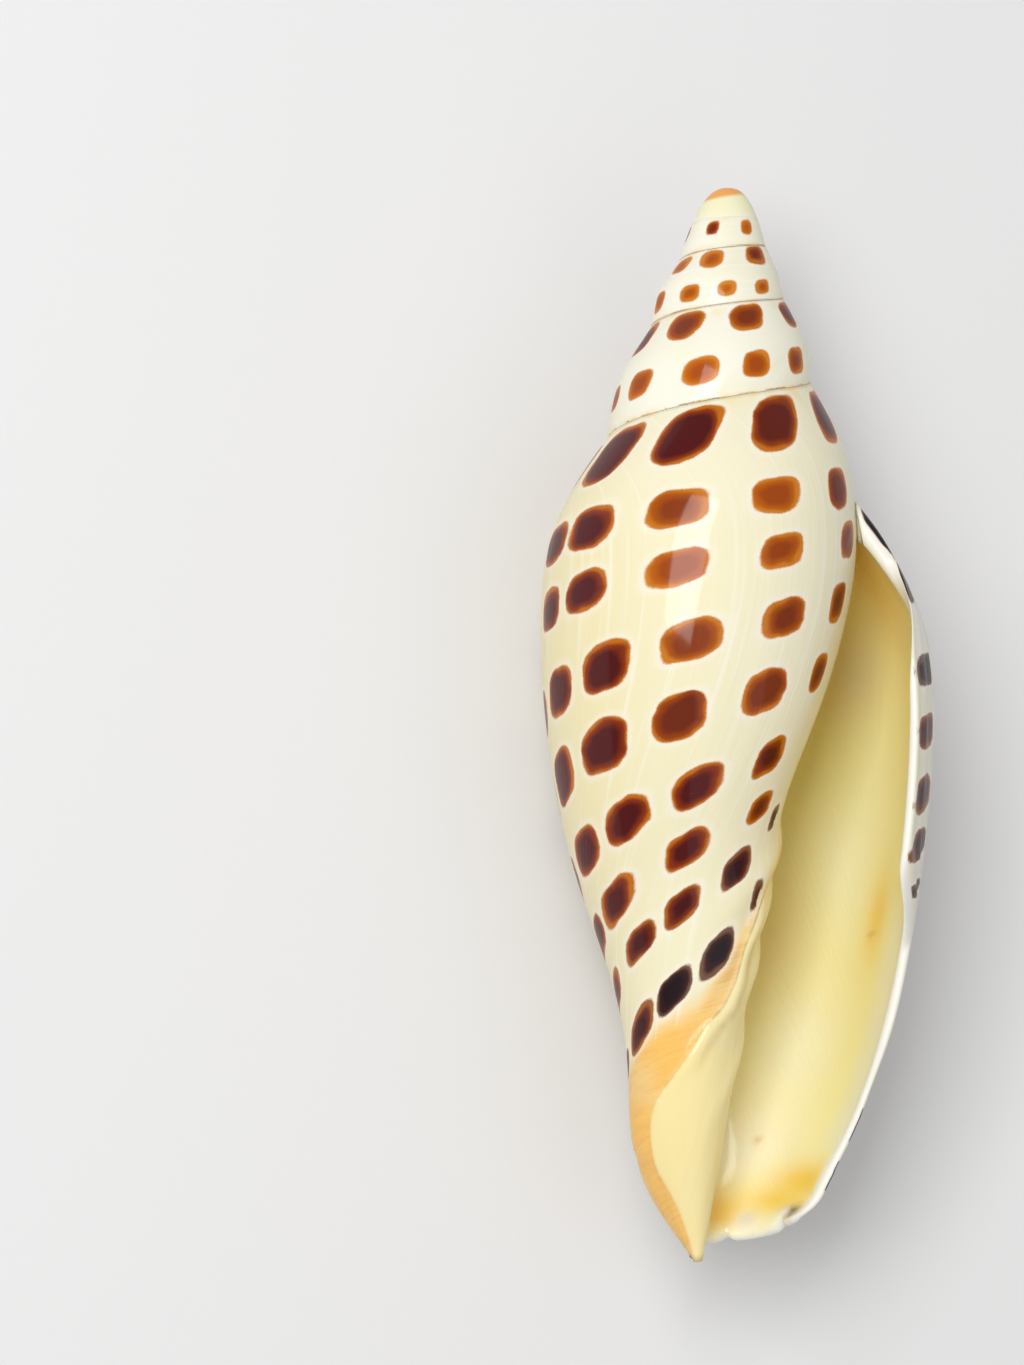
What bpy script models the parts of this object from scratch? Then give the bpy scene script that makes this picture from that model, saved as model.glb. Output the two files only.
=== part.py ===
"""A volute seashell, dextral, in one piece, lying on its back with the aperture up.

The shell is one closed surface, laid out as columns of points along the growth spiral.
An outer sheet runs from the apex to the lip. Its lower half is the body whorl's outside on
the last whorl, and the wall of the pillar inside the aperture on the whorls before it. An
inner sheet lines the outer wall, and a rim joins the two along the lip and the siphonal end.
Lengths are in millimetres and angles in degrees until the mesh is made.
"""

import math

import bmesh
import bpy
import numpy as np
from mathutils import Matrix, Vector

MILLIMETRE = 0.001

# Growth spiral. Angle 0 is at +X, 90 at the front, and growth runs towards larger angles.
LIP_ANGLE = 385.0
END_ANGLE = 370.0
START_ANGLE = -1190.0
COLUMN_STEP = 10.0
WHORL_COLUMNS = round(360.0 / COLUMN_STEP)
SHELL_LENGTH = 105.0
VIRTUAL_APEX = 3.87
SUTURE_GROWTH = 1.56
ALIKE_AGE = -1.3

# Whorl outline at the lip: radius, depth below the virtual apex, and their growth per whorl.
# Before ALIKE_AGE, in whorls from the lip, all points grow as the suture does.
OUTLINE = (
    (13.65, 35.49, 1.518, 1.542),
    (15.86, 38.18, 1.562, 1.536),
    (19.14, 43.67, 1.531, 1.496),
    (21.09, 48.30, 1.598, 1.542),
    (22.16, 57.19, 1.582, 1.539),
    (21.67, 68.38, 1.545, 1.692),
    (20.18, 80.92, 1.548, 1.694),
    (18.07, 90.97, 1.560, 1.701),
    (15.30, 98.99, 1.566, 1.685),
    (12.87, 104.11, 1.565, 1.655),
)

# Shift of the suture and shoulder along the axis, by angle, and each outline point's part in it.
SHIFT_ANGLES = (-720.0, -540.0, -360.0, -180.0, 0.0, 180.0, 360.0)
SHOULDER_SHIFT = (0.08, -0.25, 0.07, -0.03, 0.36, 1.25, -0.45)
SHIFT_SHARES = (1.0, 1.0, 0.8, 0.5, 0.2, 0.0, 0.0, 0.0, 0.0, 0.0)

# Siphonal end by angle: fasciole start and middle (share of the way down, radius), then
# the end of the profile (radius, depth).
SIPHON_ANGLES = (-90.0, 0.0, 90.0, 180.0, 270.0, 330.0, 370.0)
FASCIOLE_START_SHARE = (0.17, 0.21, 0.28, 0.38, 0.60, 0.60, 0.50)
FASCIOLE_START_RADIUS = (4.71, 5.58, 6.71, 7.28, 8.00, 10.2, 11.65)
FASCIOLE_MIDDLE_SHARE = (0.62, 0.60, 0.64, 0.70, 0.85, 0.85, 0.80)
FASCIOLE_MIDDLE_RADIUS = (2.21, 2.88, 4.42, 5.90, 6.52, 8.63, 10.45)
TIP_RADIUS = (0.45, 0.45, 0.45, 0.48, 3.64, 8.48, 9.21)
TIP_DEPTH = (104.9, 104.9, 105.2, 104.8, 102.65, 102.1, 100.95)

# Early whorls: a smooth dome that the whorls' bulge grows out of.
DOME_POWER = 0.40
BULGE_TURNS = (-4.4, -3.8, -3.2, -2.6, -2.0, -1.4, -1.2)
BULGE = (0.0, 0.36, 0.37, 1.41, 1.06, 1.03, 1.0)

# Rows of points across a whorl.
SPIRE_ROWS = 6
PILLAR_ROWS = 15
ROWS = SPIRE_ROWS + PILLAR_ROWS

# Cavity.
CAVITY_START = -230.0
CANAL_ANGLE = 250.0
CANAL_OPEN_ANGLE = 290.0
WALL = 1.55
LIP_WALL = 0.95
LIP_TAPER_ANGLE = 30.0
CORNER_DEPTH = 4.2
FLOOR_RATIO = 1.09
FLOOR_RATIO_CANAL = 1.255
FLOOR_FIXED_ANGLE = 180.0

# Folds of the pillar: depth below the virtual apex at angle 0, and height.
FOLD_GROWTH = 1.63
FOLDS = ((67.7, 0.9), (72.1, 0.85), (77.6, 0.65), (85.4, 0.45))
FOLD_HALF_WIDTH = 2.0
FOLD_FADE_START = 15.0
FOLD_FADE_END = 110.0

# Lip line: how far the lip swings forward between its two ends.
LIP_SWING = 20.5
LIP_SWING_START = 270.0
LIP_TAIL = 4.0

# The spire leans a little to the left of the axis.
AXIS_BOW = 0.3
AXIS_BOW_DEPTH = 24.0
AXIS_BOW_REACH = 12.0

# Rest attitude: the side of the shell that is down, the dip of its tip, and the apex's place.
DOWN_ANGLE = 250.6
TIP_DIP = 0.4
APEX_PLACE = (-2.154, 52.633, 18.80)

SHELL_COLOUR = (0.86, 0.78, 0.56, 1.0)
SHELL_ROUGHNESS = 0.22


def smooth_step(low, high, value):
    """Rise from 0 at low to 1 at high, level at both ends."""
    share = min(max((value - low) / (high - low), 0.0), 1.0)
    return share * share * (3.0 - 2.0 * share)


def natural_spline(knots, values, place):
    """Height of the natural cubic spline through (knots, values) at place."""
    x = np.asarray(knots, dtype=float)
    y = np.asarray(values, dtype=float)
    count = len(x)
    gap = np.diff(x)
    matrix = np.eye(count)
    right = np.zeros(count)
    for k in range(1, count - 1):
        matrix[k, k - 1] = gap[k - 1]
        matrix[k, k] = 2.0 * (gap[k - 1] + gap[k])
        matrix[k, k + 1] = gap[k]
        right[k] = 6.0 * ((y[k + 1] - y[k]) / gap[k] - (y[k] - y[k - 1]) / gap[k - 1])
    bend = np.linalg.solve(matrix, right)
    k = int(np.clip(np.searchsorted(x, place) - 1, 0, count - 2))
    a = (x[k + 1] - place) / gap[k]
    b = (place - x[k]) / gap[k]
    curve = ((a ** 3 - a) * bend[k] + (b ** 3 - b) * bend[k + 1]) * gap[k] ** 2 / 6.0
    return a * y[k] + b * y[k + 1] + curve


def turns(angle):
    """Whorls of growth between an angle and the lip, negative before the lip."""
    return (angle - LIP_ANGLE) / 360.0


def held_spline(knots, values, place):
    """Natural cubic spline, level beyond its ends."""
    return natural_spline(knots, values, min(max(place, knots[0]), knots[-1]))


def shoulder_shift(angle):
    """How far the suture at an angle lies below its steady growth."""
    return held_spline(SHIFT_ANGLES, SHOULDER_SHIFT, angle)


def suture(angle):
    """Radius and depth of the suture where the whorl at this angle begins."""
    radius, depth, radius_growth, depth_growth = OUTLINE[0]
    age = turns(angle)
    depth = depth * depth_growth ** age - VIRTUAL_APEX + shoulder_shift(angle)
    return radius * radius_growth ** age, depth


def siphon(values, angle):
    """One measure of the siphonal end at an angle."""
    return held_spline(SIPHON_ANGLES, values, angle)


def profile(angle):
    """Depths and radii of the points that shape the whorl's outline at an angle."""
    age = turns(angle)
    own_age = max(age, ALIKE_AGE)
    radius_scale = OUTLINE[0][2] ** (age - own_age)
    depth_scale = OUTLINE[0][3] ** (age - own_age)
    radii = [radius * growth ** own_age * radius_scale for radius, _, growth, _ in OUTLINE]
    shift = shoulder_shift(angle)
    depths = [
        depth * growth ** own_age * depth_scale - VIRTUAL_APEX + share * shift
        for (_, depth, _, growth), share in zip(OUTLINE, SHIFT_SHARES)
    ]
    tip_depth = siphon(TIP_DEPTH, angle)
    if angle > END_ANGLE:
        last_depth, last_growth = OUTLINE[-1][1], OUTLINE[-1][3]
        tip_depth += last_depth * (last_growth ** age - last_growth ** turns(END_ANGLE))
    shrink = OUTLINE[-1][2] ** (min(angle - SIPHON_ANGLES[0], 0.0) / 360.0)
    length = tip_depth - depths[-1]
    depths += [
        depths[-1] + siphon(FASCIOLE_START_SHARE, angle) * length,
        depths[-1] + siphon(FASCIOLE_MIDDLE_SHARE, angle) * length,
        tip_depth,
    ]
    radii += [
        siphon(FASCIOLE_START_RADIUS, angle) * shrink,
        siphon(FASCIOLE_MIDDLE_RADIUS, angle) * shrink,
        siphon(TIP_RADIUS, angle),
    ]
    return depths, radii


def fold_height(angle, depth):
    """How far the folds of the pillar raise its wall."""
    fade = 1.0 - smooth_step(FOLD_FADE_START, FOLD_FADE_END, angle)
    if fade == 0.0:
        return 0.0
    growth = FOLD_GROWTH ** (angle / 360.0)
    height = 0.0
    for fold_depth, fold_rise in FOLDS:
        distance = (depth + VIRTUAL_APEX - fold_depth * growth) / (FOLD_HALF_WIDTH * growth)
        height += fold_rise * math.exp(-distance * distance)
    return height * fade * min(growth, 1.0)


def surface_radius(angle, depth):
    """Radius of the whorl's outside at an angle and depth."""
    depths, radii = profile(angle)
    radius = natural_spline(depths, radii, depth)
    extra_bulge = held_spline(BULGE_TURNS, BULGE, turns(angle)) - 1.0
    if extra_bulge != 0.0:
        top_radius, top_depth = suture(angle)
        low_radius, low_depth = suture(angle + 360.0)
        share = (depth - top_depth) / (low_depth - top_depth)
        straight = top_radius + share * (low_radius - top_radius)
        extra_bulge *= 1.0 - smooth_step(0.9, 1.1, share)
        radius += extra_bulge * (radius - straight)
    return radius + fold_height(angle, depth)


def floor_depth(angle):
    """Depth of the cavity's lower end, in the whorl that it belongs to."""
    if angle > CANAL_ANGLE:
        return siphon(TIP_DEPTH, angle)
    _, depth, _, growth = OUTLINE[-1]
    ratio = FLOOR_RATIO + (FLOOR_RATIO_CANAL - FLOOR_RATIO) * smooth_step(
        FLOOR_FIXED_ANGLE, CANAL_ANGLE, angle)
    return min(depth * growth ** turns(angle) * ratio - VIRTUAL_APEX, SHELL_LENGTH)


def pillar_depths(angle):
    """Depths of the rows below the next suture, closer together over the folds."""
    _, top = suture(angle + 360.0)
    top += CORNER_DEPTH * SUTURE_GROWTH ** turns(angle + 360.0)
    hidden = angle + 360.0 <= CANAL_ANGLE
    bottom = floor_depth(angle + 360.0) if hidden else siphon(TIP_DEPTH, angle)
    plain = np.linspace(top, bottom, PILLAR_ROWS)
    growth = FOLD_GROWTH ** (angle / 360.0)
    crests = [depth * growth - VIRTUAL_APEX for depth, _ in FOLDS]
    rows = list(np.linspace(top, crests[0] - FOLD_HALF_WIDTH * growth, 5))
    for crest, following in zip(crests, crests[1:]):
        rows += [crest, (crest + following) / 2.0]
    rows += [crests[-1]]
    rows += list(np.linspace(crests[-1], bottom, 4))[1:]
    share = smooth_step(FOLD_FADE_START, FOLD_FADE_END, angle)
    return [(1.0 - share) * fold + share * even for fold, even in zip(rows, plain)]


def row_depths(angle):
    """Depths of all rows of a column, from its suture down."""
    _, top = suture(angle)
    _, middle = suture(angle + 360.0)
    spire = [top + (middle - top) * (row / SPIRE_ROWS) ** 1.15 for row in range(SPIRE_ROWS + 1)]
    return spire + pillar_depths(angle)


def lip_swing(angle, share):
    """Angle that a point moves forward near the lip, by its share of the way down."""
    near = smooth_step(LIP_SWING_START, END_ANGLE, angle)
    swing = smooth_step(0.06, 0.24, share) - smooth_step(0.48, 0.62, share)
    return near * (LIP_SWING * swing - LIP_TAIL * smooth_step(0.7, 1.0, share))


def place(angle, depth, radius):
    """Point in the shell's frame: apex towards +Y, front towards +Z."""
    bow = AXIS_BOW * math.exp(-((depth - AXIS_BOW_DEPTH) / AXIS_BOW_REACH) ** 2)
    turn = math.radians(angle)
    return (radius * math.cos(turn) - bow, -depth, radius * math.sin(turn))


def outer_point(angle, depth, share):
    """Point on the outer sheet."""
    turned = angle + lip_swing(angle, share)
    return place(turned, depth, surface_radius(turned, depth))


def inner_point(angle, depth, share):
    """Point on the inner sheet, at a share of the way from the cavity's top to its floor."""
    turned = angle + lip_swing(angle, share)
    outside = surface_radius(turned, depth)
    pillar = surface_radius(angle - 360.0, depth)
    taper = smooth_step(0.0, LIP_TAPER_ANGLE, END_ANGLE - angle)
    wall = LIP_WALL + (WALL - LIP_WALL) * taper
    wall *= 0.6 + 0.4 * SUTURE_GROWTH ** turns(angle)
    top = math.sqrt(1.0 - (1.0 - min(share / 0.12, 1.0)) ** 2)
    bottom = math.sqrt(1.0 - max((share - 0.72) / 0.28, 0.0) ** 2)
    closed = 1.0 - smooth_step(CANAL_ANGLE, CANAL_OPEN_ANGLE, angle)
    width = top * (1.0 - closed * (1.0 - bottom))
    return place(turned, depth, pillar + (outside - wall - pillar) * width)


def column_angles():
    """Angles of all columns, apex to lip."""
    count = round((END_ANGLE - START_ANGLE) / COLUMN_STEP) + 1
    return [START_ANGLE + COLUMN_STEP * column for column in range(count)]


def dome_points(angle):
    """Points of a first-whorl column between the pole and the first suture."""
    radius, depth = suture(angle + 360.0)
    points = []
    for row in range(1, SPIRE_ROWS + 1):
        share = (row / SPIRE_ROWS) ** 2
        points.append(place(angle, depth * share, radius * share ** DOME_POWER))
    return points


def outer_sheet(mesh, angles):
    """Grid of the outer sheet's points; each whorl's top row is the suture below the last."""
    pole = mesh.verts.new(place(0.0, 0.0, 0.0))
    grid = []
    for column, angle in enumerate(angles):
        first = column < WHORL_COLUMNS
        line = [pole if first else grid[column - WHORL_COLUMNS][SPIRE_ROWS]]
        depths = row_depths(angle)
        _, top = suture(angle)
        bottom = depths[-1]
        if first:
            line += [mesh.verts.new(point) for point in dome_points(angle)]
        else:
            for row in range(1, SPIRE_ROWS + 1):
                depth = depths[row]
                share = (depth - top) / (bottom - top)
                point = outer_point(angle, depth, share)
                if row == SPIRE_ROWS and angle <= END_ANGLE - 360.0:
                    radius, _ = suture(angle + 360.0)
                    point = place(angle, depth, radius)
                line.append(mesh.verts.new(point))
        if angle >= CAVITY_START - 360.0:
            for depth in depths[SPIRE_ROWS + 1:]:
                share = (depth - top) / (bottom - top)
                line.append(mesh.verts.new(outer_point(angle, depth, share)))
        grid.append(line)
    return grid


def inner_sheet(mesh, angles, outer):
    """Grid of the cavity's outer wall, by column number, sharing the pillar's points."""
    grid = {}
    for column, angle in enumerate(angles):
        if angle < CAVITY_START:
            continue
        pillar = outer[column - WHORL_COLUMNS]
        depths = row_depths(angle)
        _, top = suture(angle)
        corner = pillar_depths(angle - 360.0)[0]
        bottom = floor_depth(angle)
        line = [pillar[SPIRE_ROWS + 1]]
        for row in range(1, ROWS + 1):
            share = (depths[row] - top) / (depths[-1] - top)
            depth = corner + share * (bottom - corner)
            if row == ROWS and angle <= CANAL_ANGLE:
                line.append(pillar[ROWS])
            else:
                line.append(mesh.verts.new(inner_point(angle, depth, share)))
        grid[column] = line
    return grid


def add_face(mesh, *corners):
    """Face over the corners, leaving out repeats."""
    ring = [corner for k, corner in enumerate(corners) if corner != corners[k - 1]]
    if len(ring) > 2:
        mesh.faces.new(ring)


def join_sheets(mesh, angles, outer, inner):
    """Faces of both sheets, the rim and the caps."""
    last = len(angles) - 1
    for column in range(last):
        left, right = outer[column], outer[column + 1]
        if column == WHORL_COLUMNS - 1:
            seam = outer[0][:SPIRE_ROWS + 1] + right[1:SPIRE_ROWS + 1]
            for row in range(SPIRE_ROWS):
                add_face(mesh, left[row], left[row + 1], seam[2 * row + 2],
                         seam[2 * row + 1], seam[2 * row])
        else:
            for row in range(SPIRE_ROWS):
                add_face(mesh, left[row], left[row + 1], right[row + 1], right[row])
        if angles[column] >= END_ANGLE - 360.0:
            row = SPIRE_ROWS
            add_face(mesh, left[row], left[row + 1], right[row + 1], right[row])
        if angles[column] >= CAVITY_START - 360.0:
            for row in range(SPIRE_ROWS + 1, ROWS):
                add_face(mesh, left[row], left[row + 1], right[row + 1], right[row])
        if angles[column] >= CAVITY_START:
            left, right = inner[column], inner[column + 1]
            for row in range(ROWS):
                add_face(mesh, left[row], right[row], right[row + 1], left[row + 1])
    for row in range(ROWS):
        add_face(mesh, outer[last][row], outer[last][row + 1], inner[last][row + 1],
                 inner[last][row])
    canal = angles.index(CANAL_ANGLE)
    for column in range(canal, last):
        add_face(mesh, outer[column][ROWS], inner[column][ROWS], inner[column + 1][ROWS],
                 outer[column + 1][ROWS])
    tip = [outer[column][ROWS] for column in range(canal - WHORL_COLUMNS, canal + 1)]
    mesh.faces.new(tip[::-1])
    first = angles.index(CAVITY_START)
    pillar = outer[first - WHORL_COLUMNS][SPIRE_ROWS + 1:]
    ring = inner[first] + pillar[-2:0:-1]
    mesh.faces.new(ring)


def make_shell():
    """Mesh of the whole shell in the shell's frame, in millimetres."""
    mesh = bmesh.new()
    angles = column_angles()
    outer = outer_sheet(mesh, angles)
    inner = inner_sheet(mesh, angles, outer)
    join_sheets(mesh, angles, outer, inner)
    bmesh.ops.triangulate(mesh, faces=mesh.faces)
    bmesh.ops.recalc_face_normals(mesh, faces=mesh.faces)
    return mesh


def rest_on_floor(mesh):
    """Lay the shell on the plane z = 0, with a small worn flat where it touches."""
    roll = Matrix.Rotation(math.radians(DOWN_ANGLE - 270.0), 4, "Y")
    pitch = Matrix.Rotation(math.radians(TIP_DIP), 4, "X")
    lay = Matrix.Translation(Vector(APEX_PLACE)) @ pitch @ roll
    bmesh.ops.transform(mesh, matrix=lay, verts=mesh.verts)
    for vertex in mesh.verts:
        vertex.co.z = max(vertex.co.z, 0.0)


def shell_material():
    """Glossy cream of the shell's ground colour."""
    material = bpy.data.materials.new("shell")
    material.use_nodes = True
    shader = material.node_tree.nodes["Principled BSDF"]
    shader.inputs["Base Color"].default_value = SHELL_COLOUR
    shader.inputs["Roughness"].default_value = SHELL_ROUGHNESS
    shader.inputs["Metallic"].default_value = 0.0
    return material


def main():
    """Build the shell as one object."""
    for item in list(bpy.data.objects):
        bpy.data.objects.remove(item, do_unlink=True)
    mesh = make_shell()
    rest_on_floor(mesh)
    bmesh.ops.scale(mesh, vec=(MILLIMETRE,) * 3, verts=mesh.verts)
    data = bpy.data.meshes.new("shell")
    mesh.to_mesh(data)
    mesh.free()
    data.shade_smooth()
    data.materials.append(shell_material())
    shell = bpy.data.objects.new("shell", data)
    bpy.context.collection.objects.link(shell)


main()
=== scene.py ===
"""Looks of the volute shell: a fine mesh of the same growth formulas, its spots and glaze,
and a pale studio seen from above. Lengths are in millimetres and angles in degrees until
the mesh is made. Angle 0 is at the shell's right, 90 at its front, and growth adds to it."""

import math

import bpy
import numpy as np
from mathutils import Matrix, Vector


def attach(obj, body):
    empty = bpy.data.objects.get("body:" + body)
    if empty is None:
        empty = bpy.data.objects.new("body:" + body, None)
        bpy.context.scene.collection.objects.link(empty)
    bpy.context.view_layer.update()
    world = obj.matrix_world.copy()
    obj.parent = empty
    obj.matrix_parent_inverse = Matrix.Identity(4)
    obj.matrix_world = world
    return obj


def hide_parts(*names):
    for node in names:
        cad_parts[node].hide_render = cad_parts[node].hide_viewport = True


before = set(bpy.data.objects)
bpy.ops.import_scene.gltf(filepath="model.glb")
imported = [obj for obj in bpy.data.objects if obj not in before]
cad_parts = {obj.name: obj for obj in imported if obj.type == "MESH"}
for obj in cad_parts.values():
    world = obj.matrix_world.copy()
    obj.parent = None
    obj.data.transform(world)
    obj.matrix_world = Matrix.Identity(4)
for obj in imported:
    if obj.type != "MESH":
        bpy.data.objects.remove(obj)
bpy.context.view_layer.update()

MILLIMETRE = 0.001

# Growth spiral.
LIP_ANGLE = 385.0
END_ANGLE = 370.0
START_ANGLE = -1190.0
COLUMN_STEP = 2.0
WHORL_COLUMNS = round(360.0 / COLUMN_STEP)
VIRTUAL_APEX = 3.87
SHELL_LENGTH = 105.0
SUTURE_GROWTH = 1.56
ALIKE_AGE = -1.3

# Whorl outline at the lip: radius, depth below the virtual apex, and their growth per whorl.
# Before ALIKE_AGE, in whorls from the lip, all points grow as the suture does.
OUTLINE = np.array((
    (13.65, 35.49, 1.518, 1.542),
    (15.86, 38.18, 1.562, 1.536),
    (19.14, 43.67, 1.531, 1.496),
    (21.09, 48.30, 1.598, 1.542),
    (22.16, 57.19, 1.582, 1.539),
    (21.67, 68.38, 1.545, 1.692),
    (20.18, 80.92, 1.548, 1.694),
    (18.07, 90.97, 1.560, 1.701),
    (15.30, 98.99, 1.566, 1.685),
    (12.87, 104.11, 1.565, 1.655),
))

# Shift of the suture and shoulder along the axis, by angle, and each outline point's part in it.
SHIFT_ANGLES = (-720, -540, -360, -180, 0, 180, 360)
SHOULDER_SHIFT = (0.08, -0.25, 0.07, -0.03, 0.36, 1.25, -0.45)
SHIFT_SHARES = np.array((1.0, 1.0, 0.8, 0.5, 0.2, 0.0, 0.0, 0.0, 0.0, 0.0))

# Siphonal end by angle.
SIPHON_ANGLES = (-90, 0, 90, 180, 270, 330, 370)
FASCIOLE_START_SHARE = (0.17, 0.21, 0.28, 0.38, 0.60, 0.60, 0.50)
FASCIOLE_START_RADIUS = (4.71, 5.58, 6.71, 7.28, 8.00, 10.2, 11.65)
FASCIOLE_MIDDLE_SHARE = (0.62, 0.60, 0.64, 0.70, 0.85, 0.85, 0.80)
FASCIOLE_MIDDLE_RADIUS = (2.21, 2.88, 4.42, 5.90, 6.52, 8.63, 10.45)
TIP_RADIUS = (0.45, 0.45, 0.45, 0.48, 3.64, 8.48, 9.21)
TIP_DEPTH = (104.9, 104.9, 105.15, 104.8, 103.6, 102.4, 100.95)

# Early whorls: the nucleus's dome, and the spire's bulge by age, down to a share of each whorl.
DOME_POWER = 0.40
NUCLEUS_JOIN = 0.8
BULGE_TURNS = (-4.4, -3.8, -3.2, -2.6, -2.0, -1.4, -1.2)
BULGE = (0.0, 0.36, 0.37, 1.41, 1.06, 1.03, 1.0)
BULGE_END = (1.1, 0.9)

# Rows of points across a whorl: down to the next suture, closer at the top by a power, to the
# cavity's corner and to the tip, and the steps round the rim.
SPIRE_ROWS = 24
SPIRE_SPACING = 1.15
GAP_ROWS = 5
PILLAR_ROWS = 84
CORNER_ROW = SPIRE_ROWS + GAP_ROWS + 1
ROWS = SPIRE_ROWS + GAP_ROWS + PILLAR_ROWS
RIM_ROWS = 7

# Cavity: where it starts and opens, the shares of its height that round its top and its low end,
# its wall, and its floor.
CAVITY_START = -230.0
CANAL_ANGLE = 250.0
CANAL_OPEN_ANGLE = 290.0
CAVITY_TOP = 0.12
CAVITY_LOW = 0.72
WALL = 1.55
WALL_GROWN_SHARE = 0.4
LIP_WALL = 0.95
LIP_TAPER_ANGLE = 30.0
CORNER_DEPTH = 4.2
FLOOR_RATIO = 1.09
FLOOR_RATIO_CANAL = 1.255
FLOOR_FIXED_ANGLE = 180.0

# Folds of the pillar: depth below the virtual apex at angle 0, and height.
FOLD_GROWTH = 1.63
FOLDS = ((67.7, 0.9), (72.1, 0.85), (77.6, 0.65), (85.4, 0.45))
FOLD_HALF_WIDTH = 2.0
FOLD_FADE_START = 15.0
FOLD_FADE_END = 110.0

# Old break line of the lip, healed: depths and angles, the step down past it, and the growth
# ridges of the newer shell, by the depths over which they set in and fade.
SCAR_DEPTHS = (24.0, 29.4, 33.7, 36.7, 40.5, 44.3, 48.4, 53.4, 57.0, 60.0, 63.2, 66.2, 69.9,
               72.4, 77.3, 80.9, 85.2, 87.6, 89.4, 91.3, 92.9, 96.0)
SCAR_ANGLES = (311, 311, 307, 312, 316, 316, 314, 312, 309, 307, 309, 309,
               307, 306, 303, 299, 293, 285, 275, 259, 229, 150)
SCAR_STEP = 0.22
SCAR_EDGE = (-0.2, 0.9)
SCAR_REACH = 9.0
RIDGE_HEIGHT = 0.10
RIDGE_SPACING = 2.6
RIDGE_WAVER = 1.3
RIDGE_WAVER_LENGTH = 9.0
RIDGE_START = (34.0, 44.0)
RIDGE_FADE = (78.0, 90.0)
RIDGE_FADE_SHARE = 0.8

# Dents of the outside: depth, angle, drop, and reach down and across.
DENTS = ((57.5, 322.0, 0.55, 3.0, 4.0), (87.0, 352.0, 0.55, 4.0, 5.0))

# Callus over the pillar and the lower front: depths and angles of its edge, its thickness,
# and the ridge along its edge.
CALLUS_DEPTHS = (30.0, 66.0, 70.0, 74.3, 77.7, 80.4, 82.3, 84.1, 85.9, 87.6, 89.4, 91.8, 94.1,
                 96.4, 97.9, 100.2, 104.1)
CALLUS_ANGLES = (-40, 22, 42, 59, 63, 75, 91, 101, 111, 123, 137, 147,
                 151, 153, 146, 137, 128)
CALLUS_STEP = 0.22
CALLUS_EDGE = (-0.3, 0.5)
CALLUS_START = (68.0, 74.0)
CALLUS_RIDGE = 0.30
CALLUS_RIDGE_PLACE = 0.7
CALLUS_RIDGE_WIDTH = 0.55
CALLUS_RIDGE_FADE = (84.0, 90.0)

# Angles over which all relief of the outside sets in.
RELIEF_START = (0.0, 30.0)

# Lip line: how far it swings forward and back, and over which shares of the way down.
LIP_SWING = 20.5
LIP_SWING_START = 270.0
LIP_SWING_OUT = (0.06, 0.24)
LIP_SWING_BACK = (0.48, 0.62)
LIP_TAIL = 4.0
LIP_TAIL_SHARES = (0.7, 1.0)
LIP_ROUND_ANGLE = 0.9
MARGIN_ROUND = 0.45

# Small chips of the siphonal margin: angle, depth and half width in degrees.
CHIPS = ((304.0, 0.50, 5.0), (353.5, 0.75, 3.5))

# Radii of the fine mesh within the faceted solid, the spire's lean, and the rest attitude.
FINE_FIT = 0.995
AXIS_BOW = 0.3
AXIS_BOW_DEPTH = 24.0
AXIS_BOW_REACH = 12.0
DOWN_ANGLE = 250.6
TIP_DIP = 0.4
APEX_PLACE = (-2.154, 52.633, 18.80)

# Places worked out at one time, the least length that is divided by, and the least radius at
# which a distance round the shell is measured.
SPLINE_CHUNK = 20000
TINY = 1e-9
LEAST_RADIUS = 0.3


def smooth_step(low, high, value):
    """Go from 0 at low to 1 at high, level at both ends. Low may be the larger of the two."""
    share = np.clip((np.asarray(value, dtype=float) - low) / (high - low), 0.0, 1.0)
    return share * share * (3.0 - 2.0 * share)


def window(rise, fall, value):
    """Rise from 0 to 1 over one range, and fall back over another."""
    return smooth_step(*rise, value) * (1.0 - smooth_step(*fall, value))


def bell(value, middle, reach):
    """1 at the middle, and close to 0 beyond twice the reach."""
    return np.exp(-((value - middle) / reach) ** 2)


def natural_splines(knots, values, places):
    """Natural cubic splines, one per row of knots and values, each read at its own place."""
    rows, count = knots.shape
    gap = np.diff(knots, axis=1)
    slope = np.diff(values, axis=1) / gap
    matrix = np.zeros((rows, count, count))
    matrix[:, 0, 0] = 1.0
    matrix[:, -1, -1] = 1.0
    k = np.arange(1, count - 1)
    matrix[:, k, k - 1] = gap[:, :-1]
    matrix[:, k, k] = 2.0 * (gap[:, :-1] + gap[:, 1:])
    matrix[:, k, k + 1] = gap[:, 1:]
    right = np.zeros((rows, count, 1))
    right[:, 1:-1, 0] = 6.0 * np.diff(slope, axis=1)
    bend = np.linalg.solve(matrix, right)[:, :, 0]
    row = np.arange(rows)
    left = np.clip((knots < places[:, None]).sum(axis=1) - 1, 0, count - 2)
    width = gap[row, left]
    a = (knots[row, left + 1] - places) / width
    b = 1.0 - a
    curve = (a ** 3 - a) * bend[row, left] + (b ** 3 - b) * bend[row, left + 1]
    return a * values[row, left] + b * values[row, left + 1] + curve * width ** 2 / 6.0


def held_spline(knots, values, places):
    """One natural cubic spline read at many places, level beyond its ends."""
    held = np.clip(np.asarray(places, dtype=float), knots[0], knots[-1])
    count = held.size
    rows = natural_splines(
        np.tile(knots, (count, 1)), np.tile(values, (count, 1)), held.ravel())
    return rows.reshape(held.shape)


def siphon(values, angles):
    """One measure of the siphonal end at each angle."""
    return held_spline(SIPHON_ANGLES, values, angles)


def turns(angles):
    """Whorls of growth between an angle and the lip, negative before the lip."""
    return (np.asarray(angles, dtype=float) - LIP_ANGLE) / 360.0


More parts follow.
